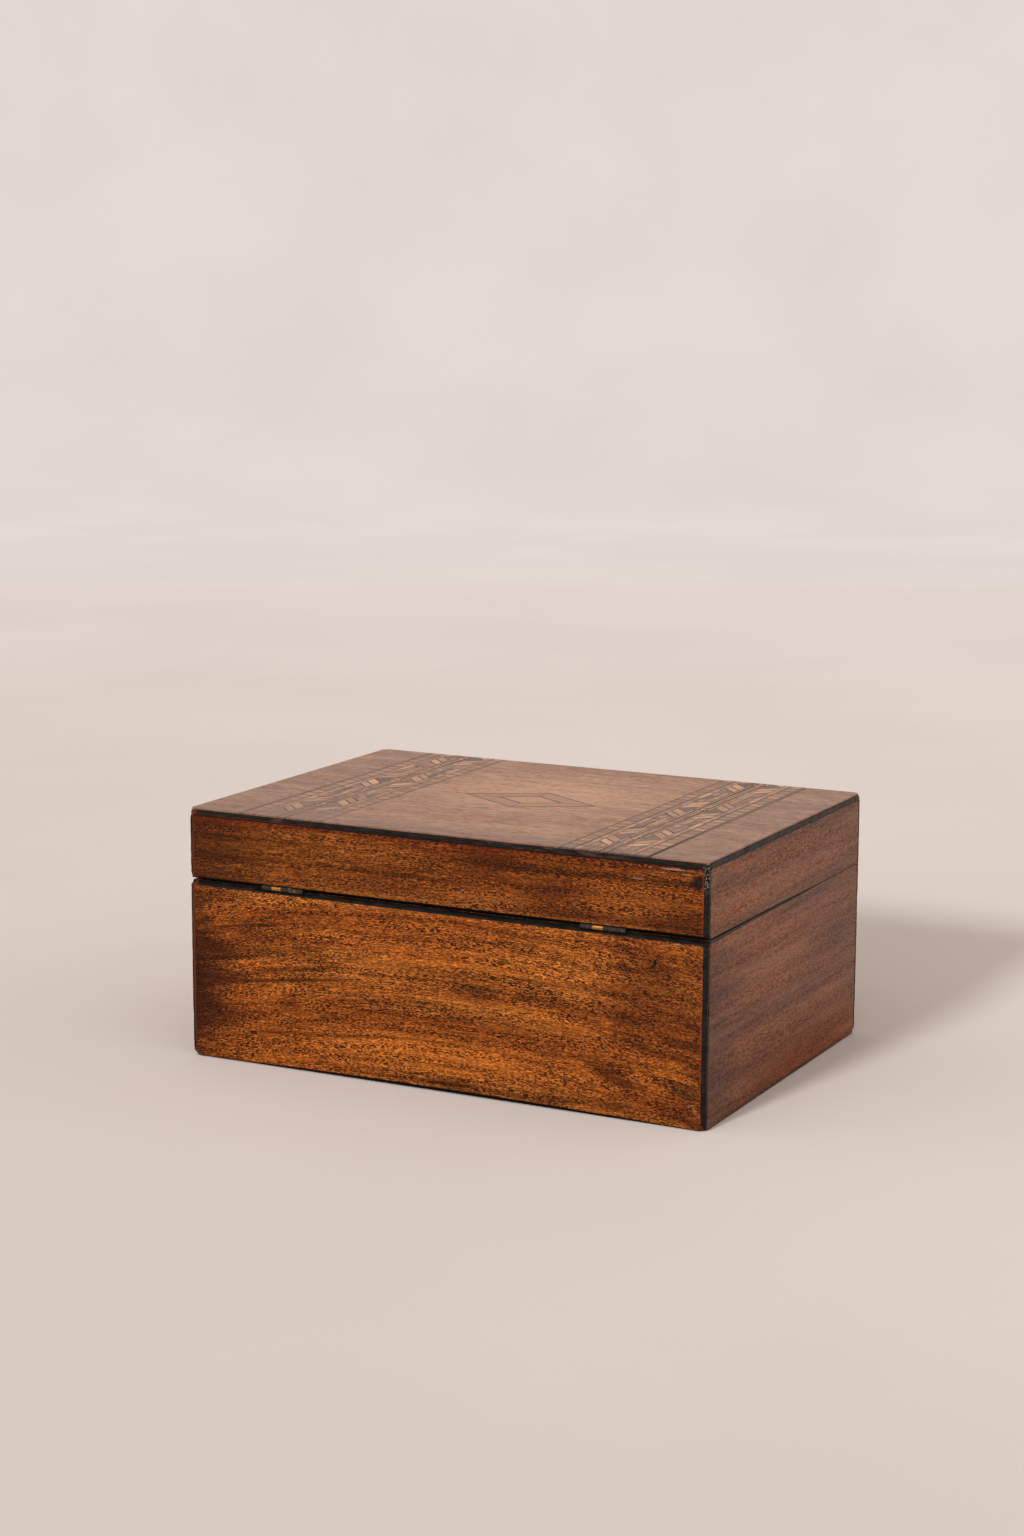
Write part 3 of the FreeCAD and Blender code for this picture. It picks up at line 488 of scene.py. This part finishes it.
def ebonisedMaterial(name, look):
    material, tree, coords = startMaterial(name)
    patch = cloud(tree, coords, look["patch"], detail=5.0, rough=0.65)
    streak = ramped(tree, cloud(tree, coords, look["streak"], detail=3.0), *look["streakBand"])
    spread = calc(tree, "MULTIPLY", calc(tree, "SUBTRACT", patch, 0.5), look["wearSpread"])
    worn = calc(tree, "ADD", attributeOf(tree, "wear"), spread)
    # lighter streaks: brownish grain in the black stain, and partly painted highlight
    colour = mixed(tree, streak, tint(*look["deep"]), tint(*look["light"]))
    colour = mixed(tree, ramped(tree, worn, *look["wearBand"]), colour, tint(*look["bare"]))
    colour = addMarks(tree, coords, colour, stringRubsAndGlints, patch)
    rough = ramped(tree, patch, *look["roughBand"], *look["rough"])
    wires = {"Base Color": colour, "Roughness": rough, "Specular IOR Level": look["gloss"]}
    endMaterial(tree, wires, patch, look["bump"], look["bumpStrength"])
    return material


ebonised = ebonisedMaterial("ebonised", ebonisedLook)


# metals, tarnished in patches

metalSet = {"patch": (420, 420, 420), "dullBand": (0.38, 0.68), "bump": 0.05, "bumpStrength": 0.5}
brassLook = {
    "metal": (170, 132, 66), "shine": (214, 176, 104), "dirt": (58, 42, 30), "brush": (300, 1500, 1500),
    "rough": 0.28, "dirtRough": 0.55, "dirtMetal": 0.35, "tarnish": -0.08,
}
knuckleBright = [
    mark((96.5, 105, 97), (3.2, 9, 4), 0.6, ragged=0.4, core=0.6),
    mark((87, 105, 97), (3, 9, 4), 0.1, ragged=0.6, core=0.5),
    mark((-90.3, 105, 97), (3.2, 9, 4), 0.6, ragged=0.4, core=0.6),
]
hingeLook = {
    **brassLook, "metal": (176, 122, 52), "shine": (214, 160, 84), "dirt": (38, 25, 15),
    "dirtRough": 0.7, "dirtMetal": 0.05, "tarnish": 0.24, "bright": knuckleBright,
}
steelLook = {
    "metal": (112, 108, 104), "shine": (150, 146, 140), "dirt": (66, 46, 34), "brush": (1500, 300, 300),
    "rough": 0.35, "dirtRough": 0.65, "dirtMetal": 0.4, "tarnish": -0.02,
}
ironLook = {**steelLook, "metal": (40, 34, 30), "shine": (66, 56, 50), "dirt": (22, 14, 10), "tarnish": 0.2}


def metalMaterial(name, look):
    material, tree, coords = startMaterial(name)
    patch = cloud(tree, coords, metalSet["patch"], detail=5.0, rough=0.65)
    brush = cloud(tree, coords, look["brush"], detail=3.0)
    tarnish = calc(tree, "ADD", patch, look["tarnish"])
    for spot in look.get("bright", []):
        tarnish = calc(tree, "SUBTRACT", tarnish, spotMask(tree, coords, spot, patch))
    dull = ramped(tree, tarnish, *metalSet["dullBand"])
    colour = mixed(tree, brush, tint(*look["metal"]), tint(*look["shine"]))
    colour = mixed(tree, dull, colour, tint(*look["dirt"]))
    metallic = ramped(tree, dull, 0.0, 1.0, 1.0, look["dirtMetal"])
    rough = ramped(tree, dull, 0.0, 1.0, look["rough"], look["dirtRough"])
    wires = {"Base Color": colour, "Roughness": rough, "Metallic": metallic}
    endMaterial(tree, wires, patch, metalSet["bump"], metalSet["bumpStrength"])
    return material


hingeBrass = metalMaterial("hingeBrass", hingeLook)
lockBrass = metalMaterial("lockBrass", brassLook)
lockSteel = metalMaterial("lockSteel", steelLook)
nailIron = metalMaterial("nailIron", ironLook)
print("materials made:", len(bpy.data.materials))


# mesh helpers

meshSet = {"merge": 0.002, "flat": 0.8, "edge": 22.0, "sharp": 38.0}  # millimetres, then degrees
cutSlack = 1e-7  # metres
cutSteps = (0.1, 0.22, 0.36, 0.52, 0.72, 1.0)  # shares of the rubbed reach, closer towards the corner


def mergedCopy(nodeName):
    work = bmesh.new()
    work.from_mesh(frame["nodes"][nodeName].data)
    bmesh.ops.remove_doubles(work, verts=work.verts, dist=meshSet["merge"] * mm)
    flat = math.radians(meshSet["flat"])
    bmesh.ops.dissolve_limit(work, angle_limit=flat, verts=work.verts, edges=work.edges)
    shared = [face for face in work.faces if all(len(edge.link_faces) > 2 for edge in face.edges)]
    bmesh.ops.delete(work, geom=shared, context="FACES_ONLY")  # glued mitres lie inside the wood
    return work


def roundEdges(work, width, segments=2, minAngle=meshSet["edge"]):
    limit = math.radians(minAngle)
    edges = [edge for edge in work.edges if edge.is_manifold and edge.calc_face_angle(0.0) > limit]
    bmesh.ops.bevel(
        work, geom=edges, offset=width * mm, offset_type="OFFSET", affect="EDGES",
        segments=segments, profile=0.5, material=-1, clamp_overlap=True, loop_slide=True,
    )


def cutAt(work, place, normal):
    geom = list(work.verts) + list(work.edges) + list(work.faces)
    bmesh.ops.bisect_plane(work, geom=geom, plane_co=place, plane_no=normal, dist=cutSlack)


def axisNormal(axis):
    normal = Vector((0, 0, 0))
    normal[axis] = 1.0
    return normal


def cutLoops(work, axis, step):
    low = min(vert.co[axis] for vert in work.verts)
    high = max(vert.co[axis] for vert in work.verts)
    count = round((high - low) / (step * mm))
    normal = axisNormal(axis)
    for index in range(1, count):
        cutAt(work, normal * (low + (high - low) * index / count), normal)


def cutNear(work, reach, ends):
    inside = boxHeight / 2  # between the two ends on every axis
    for axis in range(3):
        normal = axisNormal(axis)
        for end in ends[axis]:
            for share in cutSteps:
                cutAt(work, normal * (end - math.copysign(share * reach, end - inside)) * mm, normal)


def islandsOf(work):
    seen = set()
    groups = []
    for start in work.verts:
        if start in seen:
            continue
        seen.add(start)
        group = [start]
        for vert in group:
            for edge in vert.link_edges:
                other = edge.other_vert(vert)
                if other not in seen:
                    seen.add(other)
                    group.append(other)
        groups.append(group)
    return groups


def makePiece(work, nodeName, materials, sharp=meshSet["sharp"]):
    mesh = bpy.data.meshes.new(nodeName + "_look")
    work.normal_update()
    work.to_mesh(mesh)
    work.free()
    for material in materials:
        mesh.materials.append(material)
    mesh.polygons.foreach_set("use_smooth", [True] * len(mesh.polygons))
    mesh.set_sharp_from_angle(angle=math.radians(sharp))
    piece = bpy.data.objects.new(nodeName + "_look", mesh)
    bpy.context.scene.collection.objects.link(piece)
    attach(piece, body_of(frame["nodes"][nodeName])[0])
    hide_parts(nodeName)
    normals = piece.modifiers.new("faceNormals", "WEIGHTED_NORMAL")
    normals.keep_sharp = True


# boards: polished outside, bare inside

boardSet = {
    "round": 0.14, "step": 10.0, "skin": 3.6, "facing": 0.3,  # faces this near the outside are polished
    "rebate": 1.5, "square": 0.99, "foot": 6.0, "under": 0.55,  # rebates and underside get painted shade, a near-black brown
}
boardGrain = {
    "base_back_board": 0, "base_front_board": 0, "base_left_board": 1, "base_right_board": 1,
    "base_bottom_board": 0, "lid_back_board": 0, "lid_front_board": 0, "lid_left_board": 1,
    "lid_right_board": 1, "lid_top_board": 0,
}
underBow = {"rise": 0.5, "reach": 146.0, "fade": 8.0}  # the underside has warped and bears on its two ends
cornerRub = {"foot": 3.6, "top": 2.6, "ease": 1.6}
lowCorners = ((-boxHalf.x, boxHalf.x), (-boxHalf.y, boxHalf.y), (0.0,))
highCorners = (lowCorners[0], lowCorners[1], (boxHeight,))


def sideOf(face):
    place = face.calc_center_median() / mm
    skin = boardSet["skin"]
    facing = boardSet["facing"]
    if place.y > boxHalf.y - skin and face.normal.y > facing:
        return sideSlot["Back"]
    if place.y < skin - boxHalf.y and face.normal.y < -facing:
        return sideSlot["Front"]
    if place.x < skin - boxHalf.x and face.normal.x < -facing:
        return sideSlot["Left"]
    if place.x > boxHalf.x - skin and face.normal.x > facing:
        return sideSlot["Right"]
    return sideSlot["bare"]


# faces under the box and inside the rebates, which get the painted shade
def isHidden(face):
    place = face.calc_center_median() / mm
    if face.normal.z < -boardSet["under"] and place.z < boardSet["foot"]:
        return True
    for axis in (0, 1):
        inside = boxHalf[axis] - abs(place[axis])
        if abs(face.normal[axis]) > boardSet["square"] and boardSet["rebate"] < inside < boardSet["skin"]:
            return True
    return False


def rubCorner(vert):
    level = vert.co.z / mm
    upper = level > boxHeight / 2
    reach = cornerRub["top" if upper else "foot"]
    away = Vector((boxHalf.x - abs(vert.co.x) / mm, boxHalf.y - abs(vert.co.y) / mm, level))
    if upper:
        away.z = boxHeight - level
    if max(away) >= reach:
        return
    inward = Vector([1.0 - max(0.0, value) / reach for value in away])
    ease = min(1.0, cornerRub["ease"] * min(inward))
    over = max(0.0, inward.length - 1.0) / inward.length * reach * ease
    vert.co.x -= math.copysign(inward.x * over * mm, vert.co.x)
    vert.co.y -= math.copysign(inward.y * over * mm, vert.co.y)
    vert.co.z += inward.z * over * (-mm if upper else mm)


def bowUnder(vert):
    level = vert.co.z / mm
    if level < underBow["fade"]:
        along = min(1.0, abs(vert.co.x) / mm / underBow["reach"])
        vert.co.z += underBow["rise"] * mm * (1.0 - along ** 2) * (1.0 - level / underBow["fade"])


def dressBoard(nodeName, grainAxis):
    work = mergedCopy(nodeName)
    roundEdges(work, boardSet["round"])
    cutLoops(work, grainAxis, boardSet["step"])
    if nodeName.startswith("base"):
        cutNear(work, cornerRub["foot"], lowCorners)
        for vert in work.verts:
            rubCorner(vert)
            bowUnder(vert)
    elif nodeName == "lid_top_board":
        cutNear(work, cornerRub["top"], highCorners)
        for vert in work.verts:
            rubCorner(vert)
    work.normal_update()
    for face in work.faces:
        face.material_index = sideSlot["paintedShade"] if isHidden(face) else sideOf(face)
    bare = bareAlongY if grainAxis == 1 else bareAlongX
    makePiece(work, nodeName, polish[nodeName.split("_")[0]] + [bare, paintedShade])


for nodeName, grainAxis in boardGrain.items():
    dressBoard(nodeName, grainAxis)
print("boards dressed:", len(boardGrain))


# veneer on the top

veneerSet = {"round": 0.25, "step": 12.0}
for nodeName, material in veneers.items():
    sheet = mergedCopy(nodeName)
    roundEdges(sheet, veneerSet["round"])
    cutLoops(sheet, 0, veneerSet["step"])
    cutNear(sheet, cornerRub["top"], highCorners)
    for vert in sheet.verts:
        rubCorner(vert)
    makePiece(sheet, nodeName, [material])
print("veneer dressed:", len(veneers))


# inlay

fieldCuts = {"stars": (145.5, 64.5, -16.5, -97.5), "ground": (-31.5, -22.0, -11.0, 11.0, 22.0, 31.5, 40.5)}
turnSwing = {"set": 0.06, "either": 0.05}  # radians that a tile's grain strays
quarter = math.radians(90)
lineTone = {"outerFrom": 20.0, "outer": 0.25, "inner": 1.0}
slopeTone = {"rising": 0.0, "falling": 0.9}
slant = Vector((0.37, 1.0, 0.0))  # a direction in which no two cut tiles lie level


def alongBox(chance):
    return chance.uniform(-turnSwing["set"], turnSwing["set"])


def acrossBox(chance):
    return quarter + chance.uniform(-turnSwing["set"], turnSwing["set"])


def eitherWay(chance):
    return chance.choice((0.0, quarter)) + chance.uniform(-turnSwing["either"], turnSwing["either"])


def anyTone(middle, middleX, chance):
    return chance.random()


def outerDark(middle, middleX, chance):
    if abs(middle.x - middleX) > lineTone["outerFrom"] * mm:
        return lineTone["outer"] * chance.random()
    return lineTone["inner"]


def slopeDark(middle, middleX, chance):
    return slopeTone["rising" if middle.x * middle.y > 0 else "falling"]


tileSet = {
    "round": 0.08, "rim": 0.3, "capDepth": 0.05, "capLevel": 0.98,
    "lean": 0.004, "leanDepth": 0.3, "sink": 0.01,  # each tile tips a little and sits just under the surface
    "turn": eitherWay, "tone": anyTone, "cuts": (),
}
lineSet = {**tileSet, "rim": 0.15, "lean": 0.0, "turn": acrossBox, "tone": outerDark}
slopeSet = {**lineSet, "tone": slopeDark}
plainSet = {**tileSet, "turn": alongBox}
tileFinish = {
    "lines": ("ebonised", lineSet, "lineInlay"),
    "border_light": ("light_inlay", tileSet, "borderInlay"),
    "border_dark": ("dark_inlay", tileSet, "slipInlay"),
    "star_light": ("light_inlay", tileSet, "lightInlay"),
    "star_dark": ("dark_inlay", tileSet, "darkInlay"),
    "petals": ("light_inlay", {**tileSet, "turn": acrossBox}, "lightInlay"),
    "petal_slips": ("dark_inlay", {**tileSet, "rim": 0.15}, "darkInlay"),
    "walnut": ("walnut_inlay", {**tileSet, "turn": acrossBox, "cuts": fieldCuts["ground"]}, "walnutInlay"),
    "dark_ground": ("dark_inlay", {**tileSet, "cuts": fieldCuts["ground"]}, "groundInlay"),
}
lozengeFinish = {
    "lozenge_outer_line": ("ebonised", slopeSet, "lozengeLineInlay"),
    "lozenge_inner_line": ("ebonised", slopeSet, "lozengeLineInlay"),
    "lozenge_frame": ("walnut_inlay", plainSet, "frameInlay"),
    "lozenge_centre": ("light_inlay", plainSet, "coreInlay"),
}


def cutField(work, middleX, cuts):  # diagonal cuts round each star divide the ground into more tiles
    for star in fieldCuts["stars"]:
        for away in cuts:
            for side in (1.0, -1.0):
                cutAt(work, Vector((middleX, (star + away) * mm, 0.0)), (side, 1.0, 0.0))


def isCap(face, top, tiles):
    return face.normal.z > tiles["capLevel"] and face.calc_center_median().z > top - tiles["capDepth"] * mm


def alongSlant(face):
    return face.calc_center_median().dot(slant)


def settled(caps, older):  # new faces fill freed places in no fixed order, so those in front are sorted
    lead = next((index for index, face in enumerate(caps) if face in older), len(caps))
    return sorted(caps[:lead], key=alongSlant) + caps[lead:]


def dressTiles(nodeName, slotName, tiles, inlayName):
    chance = random.Random(nodeName)
    work = mergedCopy(nodeName)
    roundEdges(work, tiles["round"], 1)
    middleX = (min(vert.co.x for vert in work.verts) + max(vert.co.x for vert in work.verts)) / 2
    older = set(work.faces)
    cutField(work, middleX, tiles["cuts"])
    top = max(vert.co.z for vert in work.verts)
    caps = settled([face for face in work.faces if isCap(face, top, tiles)], older)
    edgeLayer = work.verts.layers.float.new("tileEdge")
    for vert in work.verts:
        vert[edgeLayer] = 1.0
    bmesh.ops.inset_individual(work, faces=caps, thickness=tiles["rim"] * mm, use_even_offset=True)
    for face in caps:
        for vert in face.verts:
            vert[edgeLayer] = 0.0
    toneLayer = work.verts.layers.float.new("tileTone")
    turnLayer = work.verts.layers.float.new("tileTurn")
    for group in islandsOf(work):
        middle = sum((vert.co for vert in group), Vector()) / len(group)
        tone = tiles["tone"](middle, middleX, chance)
        turn = tiles["turn"](chance)
        leanX = chance.uniform(-tiles["lean"], tiles["lean"])
        leanY = chance.uniform(-tiles["lean"], tiles["lean"])
        for vert in group:
            vert[toneLayer] = tone
            vert[turnLayer] = turn
            if vert.co.z > top - tiles["leanDepth"] * mm:
                away = vert.co - middle
                vert.co.z += min(0.0, leanX * away.x + leanY * away.y - tiles["sink"] * mm)
    if tiles["cuts"]:
        for face in caps:
            tone = chance.random()
            for vert in face.verts:
                vert[toneLayer] = tone
    makePiece(work, nodeName, [inlays[inlayName]])


for band, bandLine in (("left_band_", "lineInlay"), ("right_band_", "fadedLineInlay")):
    for kind, (slotName, tiles, inlayName) in tileFinish.items():
        dressTiles(band + kind, slotName, tiles, bandLine if kind == "lines" else inlayName)
for nodeName, finish in lozengeFinish.items():
    dressTiles(nodeName, *finish)
print("inlay dressed")


# black strings, with chipped and rubbed arrises

stringChips = [
    {"at": (95, 105, 136), "size": (5, 4, 3), "depth": 1.0},
    {"at": (149, 104, 135), "size": (6, 5, 5), "depth": 0.3},
    {"at": (12, 105, 136), "size": (3, 3, 2), "depth": 0.6},
    {"at": (-70, 105, 135), "size": (4, 3, 2), "depth": 0.5},
    {"at": (-150, 60, 136), "size": (3, 5, 2), "depth": 0.5},
    {"at": (-150, -40, 135), "size": (3, 4, 2), "depth": 0.6},
    {"at": (-150, 96, 96), "size": (3, 9, 3), "depth": 0.5},
    {"at": (150, 105, 97), "size": (5, 5, 3), "depth": 1.1, "bare": 0.2},
]
stringSet = {
    "round": 0.22, "merge": 0.004, "sliver": 0.002, "step": 2.2, "sharp": 50.0,
    "broadScale": 0.11, "broadStart": 0.1, "broadRub": 0.4,
    "fineScale": 0.45, "fineShift": (7, 3, 5), "fineRub": 0.25, "rubBare": 0.3, "chipBare": 1.3,
}
strings = (
    "base_corner_strings", "base_rim_string", "lid_corner_strings", "lid_top_strings", "lid_rim_string",
)


def wearAt(place):  # how far a place is rubbed back, and how bare it is
    broad = noise.noise(place * stringSet["broadScale"]) - stringSet["broadStart"]
    rub = max(0.0, broad) * stringSet["broadRub"]
    fine = noise.noise(place * stringSet["fineScale"] + Vector(stringSet["fineShift"]))
    rub += max(0.0, fine) * stringSet["fineRub"]
    bare = stringSet["rubBare"] * rub
    for chip in stringChips:
        local = Vector([(place[axis] - chip["at"][axis]) / chip["size"][axis] for axis in range(3)])
        if local.length < 1.0:
            rub += chip["depth"] * (1.0 - local.length_squared)
            bare += chip.get("bare", stringSet["chipBare"]) * chip["depth"] * (1.0 - local.length_squared)
    return rub, min(1.0, bare)


def dressString(nodeName):
    work = mergedCopy(nodeName)
    roundEdges(work, stringSet["round"])
    # the bevel runs out to nothing here and there
    bmesh.ops.remove_doubles(work, verts=work.verts, dist=stringSet["merge"] * mm)
    bmesh.ops.dissolve_degenerate(work, dist=stringSet["sliver"] * mm, edges=work.edges)
    for axis in range(3):
        cutLoops(work, axis, stringSet["step"])
    work.normal_update()
    wearLayer = work.verts.layers.float.new("wear")
    moves = []
    for vert in work.verts:
        rub, wear = wearAt(vert.co / mm)
        moves.append((vert, vert.normal * (-rub * mm), wear))
    for vert, move, wear in moves:
        vert.co += move
        vert[wearLayer] = wear
        rubCorner(vert)
    makePiece(work, nodeName, [ebonised], stringSet["sharp"])


for nodeName in strings:
    dressString(nodeName)
print("strings dressed:", len(strings))


# hinges, lock and nail

hardwareSet = {"round": 0.12, "pinRound": 0.1, "nailRound": 0.15, "edge": 30.0, "sharp": 45.0}
hingeParts = ("base_leaf", "lid_leaf", "base_screws", "lid_screws", "pin")
lockParts = (
    "lock_case", "lock_cover", "lock_screws", "keyhole_escutcheon", "lock_link_plate", "lock_link_screws",
)


def dressMetal(nodeName, material, width=hardwareSet["round"]):
    work = mergedCopy(nodeName)
    roundEdges(work, width, 2, hardwareSet["edge"])
    makePiece(work, nodeName, [material], hardwareSet["sharp"])


for side in ("left", "right"):
    for part in hingeParts:
        dressMetal("hinge_" + side + "_" + part, hingeBrass)
for nodeName in lockParts:
    dressMetal(nodeName, lockBrass)
dressMetal("lock_bolt", lockSteel)
dressMetal("lock_key_pin", lockSteel, hardwareSet["pinRound"])
dressMetal("lid_back_nail", nailIron, hardwareSet["nailRound"])
print("hardware dressed")


# stage: one pale bowl, floor running up into a wall all round

stageSet = {
    "floor": 3.2, "bend": 0.9, "wall": 0.4, "sides": 128, "steps": 14,
    "tint": (216, 210, 209), "wallTint": (227, 216, 210), "fade": (0.9, 3.0), "matt": 0.6,
    "mottle": (3, 3, 3), "mottleBand": (0.3, 0.7), "mottleTone": (0.975, 1.015),
}  # metres


def pushOut(work, edges, scale, rise):
    made = bmesh.ops.extrude_edge_only(work, edges=edges)["geom"]
    verts = [item for item in made if isinstance(item, bmesh.types.BMVert)]
    for vert in verts:
        vert.co = Vector((vert.co.x * scale, vert.co.y * scale, vert.co.z + rise))
    return [item for item in made if isinstance(item, bmesh.types.BMEdge)]


def makeStage():
    work = bmesh.new()
    bmesh.ops.create_circle(work, cap_ends=True, radius=stageSet["floor"], segments=stageSet["sides"])
    rim = list(work.edges)
    radius = stageSet["floor"]
    level = 0.0
    for step in range(1, stageSet["steps"] + 1):
        angle = math.radians(90) * step / stageSet["steps"]
        nextRadius = stageSet["floor"] + stageSet["bend"] * math.sin(angle)
        nextLevel = stageSet["bend"] * (1.0 - math.cos(angle))
        rim = pushOut(work, rim, nextRadius / radius, nextLevel - level)
        radius = nextRadius
        level = nextLevel
    pushOut(work, rim, 1.0, stageSet["wall"])
    bmesh.ops.recalc_face_normals(work, faces=work.faces)
    mesh = bpy.data.meshes.new("studioBowl")
    work.to_mesh(mesh)
    work.free()
    mesh.polygons.foreach_set("use_smooth", [True] * len(mesh.polygons))
    material, tree, coords = startMaterial("studioPaper")
    mottle = cloud(tree, coords, stageSet["mottle"], detail=4.0)
    mottle = ramped(tree, mottle, *stageSet["mottleBand"], *stageSet["mottleTone"])
    paper = mixed(tree, 1.0, tint(*stageSet["tint"]), greyOf(tree, mottle), "MULTIPLY")
    wall = mixed(tree, 1.0, tint(*stageSet["wallTint"]), greyOf(tree, mottle), "MULTIPLY")
    away = addNode(tree, "ShaderNodeVectorMath", {0: coords}, operation="LENGTH").outputs["Value"]
    path = addNode(tree, "ShaderNodeLightPath").outputs
    seen = calc(tree, "MAXIMUM", path["Is Camera Ray"], path["Is Glossy Ray"])
    seen = calc(tree, "MAXIMUM", seen, path["Is Transmission Ray"])
    far = calc(tree, "MULTIPLY", seen, ramped(tree, away, *stageSet["fade"]))
    wires = {"Color": paper, "Roughness": stageSet["matt"]}
    matt = addNode(tree, "ShaderNodeBsdfDiffuse", wires).outputs[0]
    pale = addNode(tree, "ShaderNodeEmission", {"Color": wall, "Strength": 1.0}).outputs[0]
    surface = addNode(tree, "ShaderNodeMixShader", {0: far, 1: matt, 2: pale}).outputs[0]
    addNode(tree, "ShaderNodeOutputMaterial", {"Surface": surface})
    mesh.materials.append(material)
    bowl = bpy.data.objects.new("studioBowl", mesh)
    bpy.context.scene.collection.objects.link(bowl)


makeStage()


# light: a low soft sun from the hinge side and a plain warm sky

lightSet = {
    "from": (0.14, 1.0, 0.46), "distance": 2.0, "spread": 8.0, "power": 1.4, "colour": (1.0, 0.98, 0.96),
    "sky": 0.8, "skyTint": (255, 242, 229),
}


def makeLight():
    lamp = bpy.data.lights.new("softKey", "SUN")
    lamp.angle = math.radians(lightSet["spread"])
    lamp.energy = lightSet["power"]
    lamp.color = lightSet["colour"]
    key = bpy.data.objects.new("softKey", lamp)
    bpy.context.scene.collection.objects.link(key)
    toward = Vector(lightSet["from"]).normalized()
    key.location = toward * lightSet["distance"]
    key.rotation_euler = toward.to_track_quat("Z", "Y").to_euler()
    world = bpy.data.worlds.new("softSky")
    world.use_nodes = True
    bpy.context.scene.world = world
    sky = world.node_tree.nodes["Background"]
    sky.inputs["Color"].default_value = tint(*lightSet["skyTint"])
    sky.inputs["Strength"].default_value = lightSet["sky"]


makeLight()


# camera, fitted to the box's visible corners; metres and degrees

cameraSet = {
    "eye": (-0.6774, 1.3484, 0.4224), "ahead": (0.44775, -0.87673, -0.1755), "roll": 0.24,
    "lens": 66.66, "sensor": 36.0, "near": 0.05,
}


def makeCamera():
    ahead = Vector(cameraSet["ahead"]).normalized()
    level = ahead.cross(Vector((0, 0, 1))).normalized()
    upright = level.cross(ahead)
    lean = math.radians(cameraSet["roll"])
    right = level * math.cos(lean) + upright * math.sin(lean)
    above = upright * math.cos(lean) - level * math.sin(lean)
    data = bpy.data.cameras.new("photoCamera")
    data.lens = cameraSet["lens"]
    data.sensor_width = cameraSet["sensor"]
    data.clip_start = cameraSet["near"]
    camera = bpy.data.objects.new("photoCamera", data)
    bpy.context.scene.collection.objects.link(camera)
    turn = Matrix((right, above, -ahead)).transposed()
    camera.matrix_world = Matrix.Translation(cameraSet["eye"]) @ turn.to_4x4()
    bpy.context.scene.camera = camera


makeCamera()
bpy.context.scene.view_settings.view_transform = "Standard"
print("stage, light and camera set")
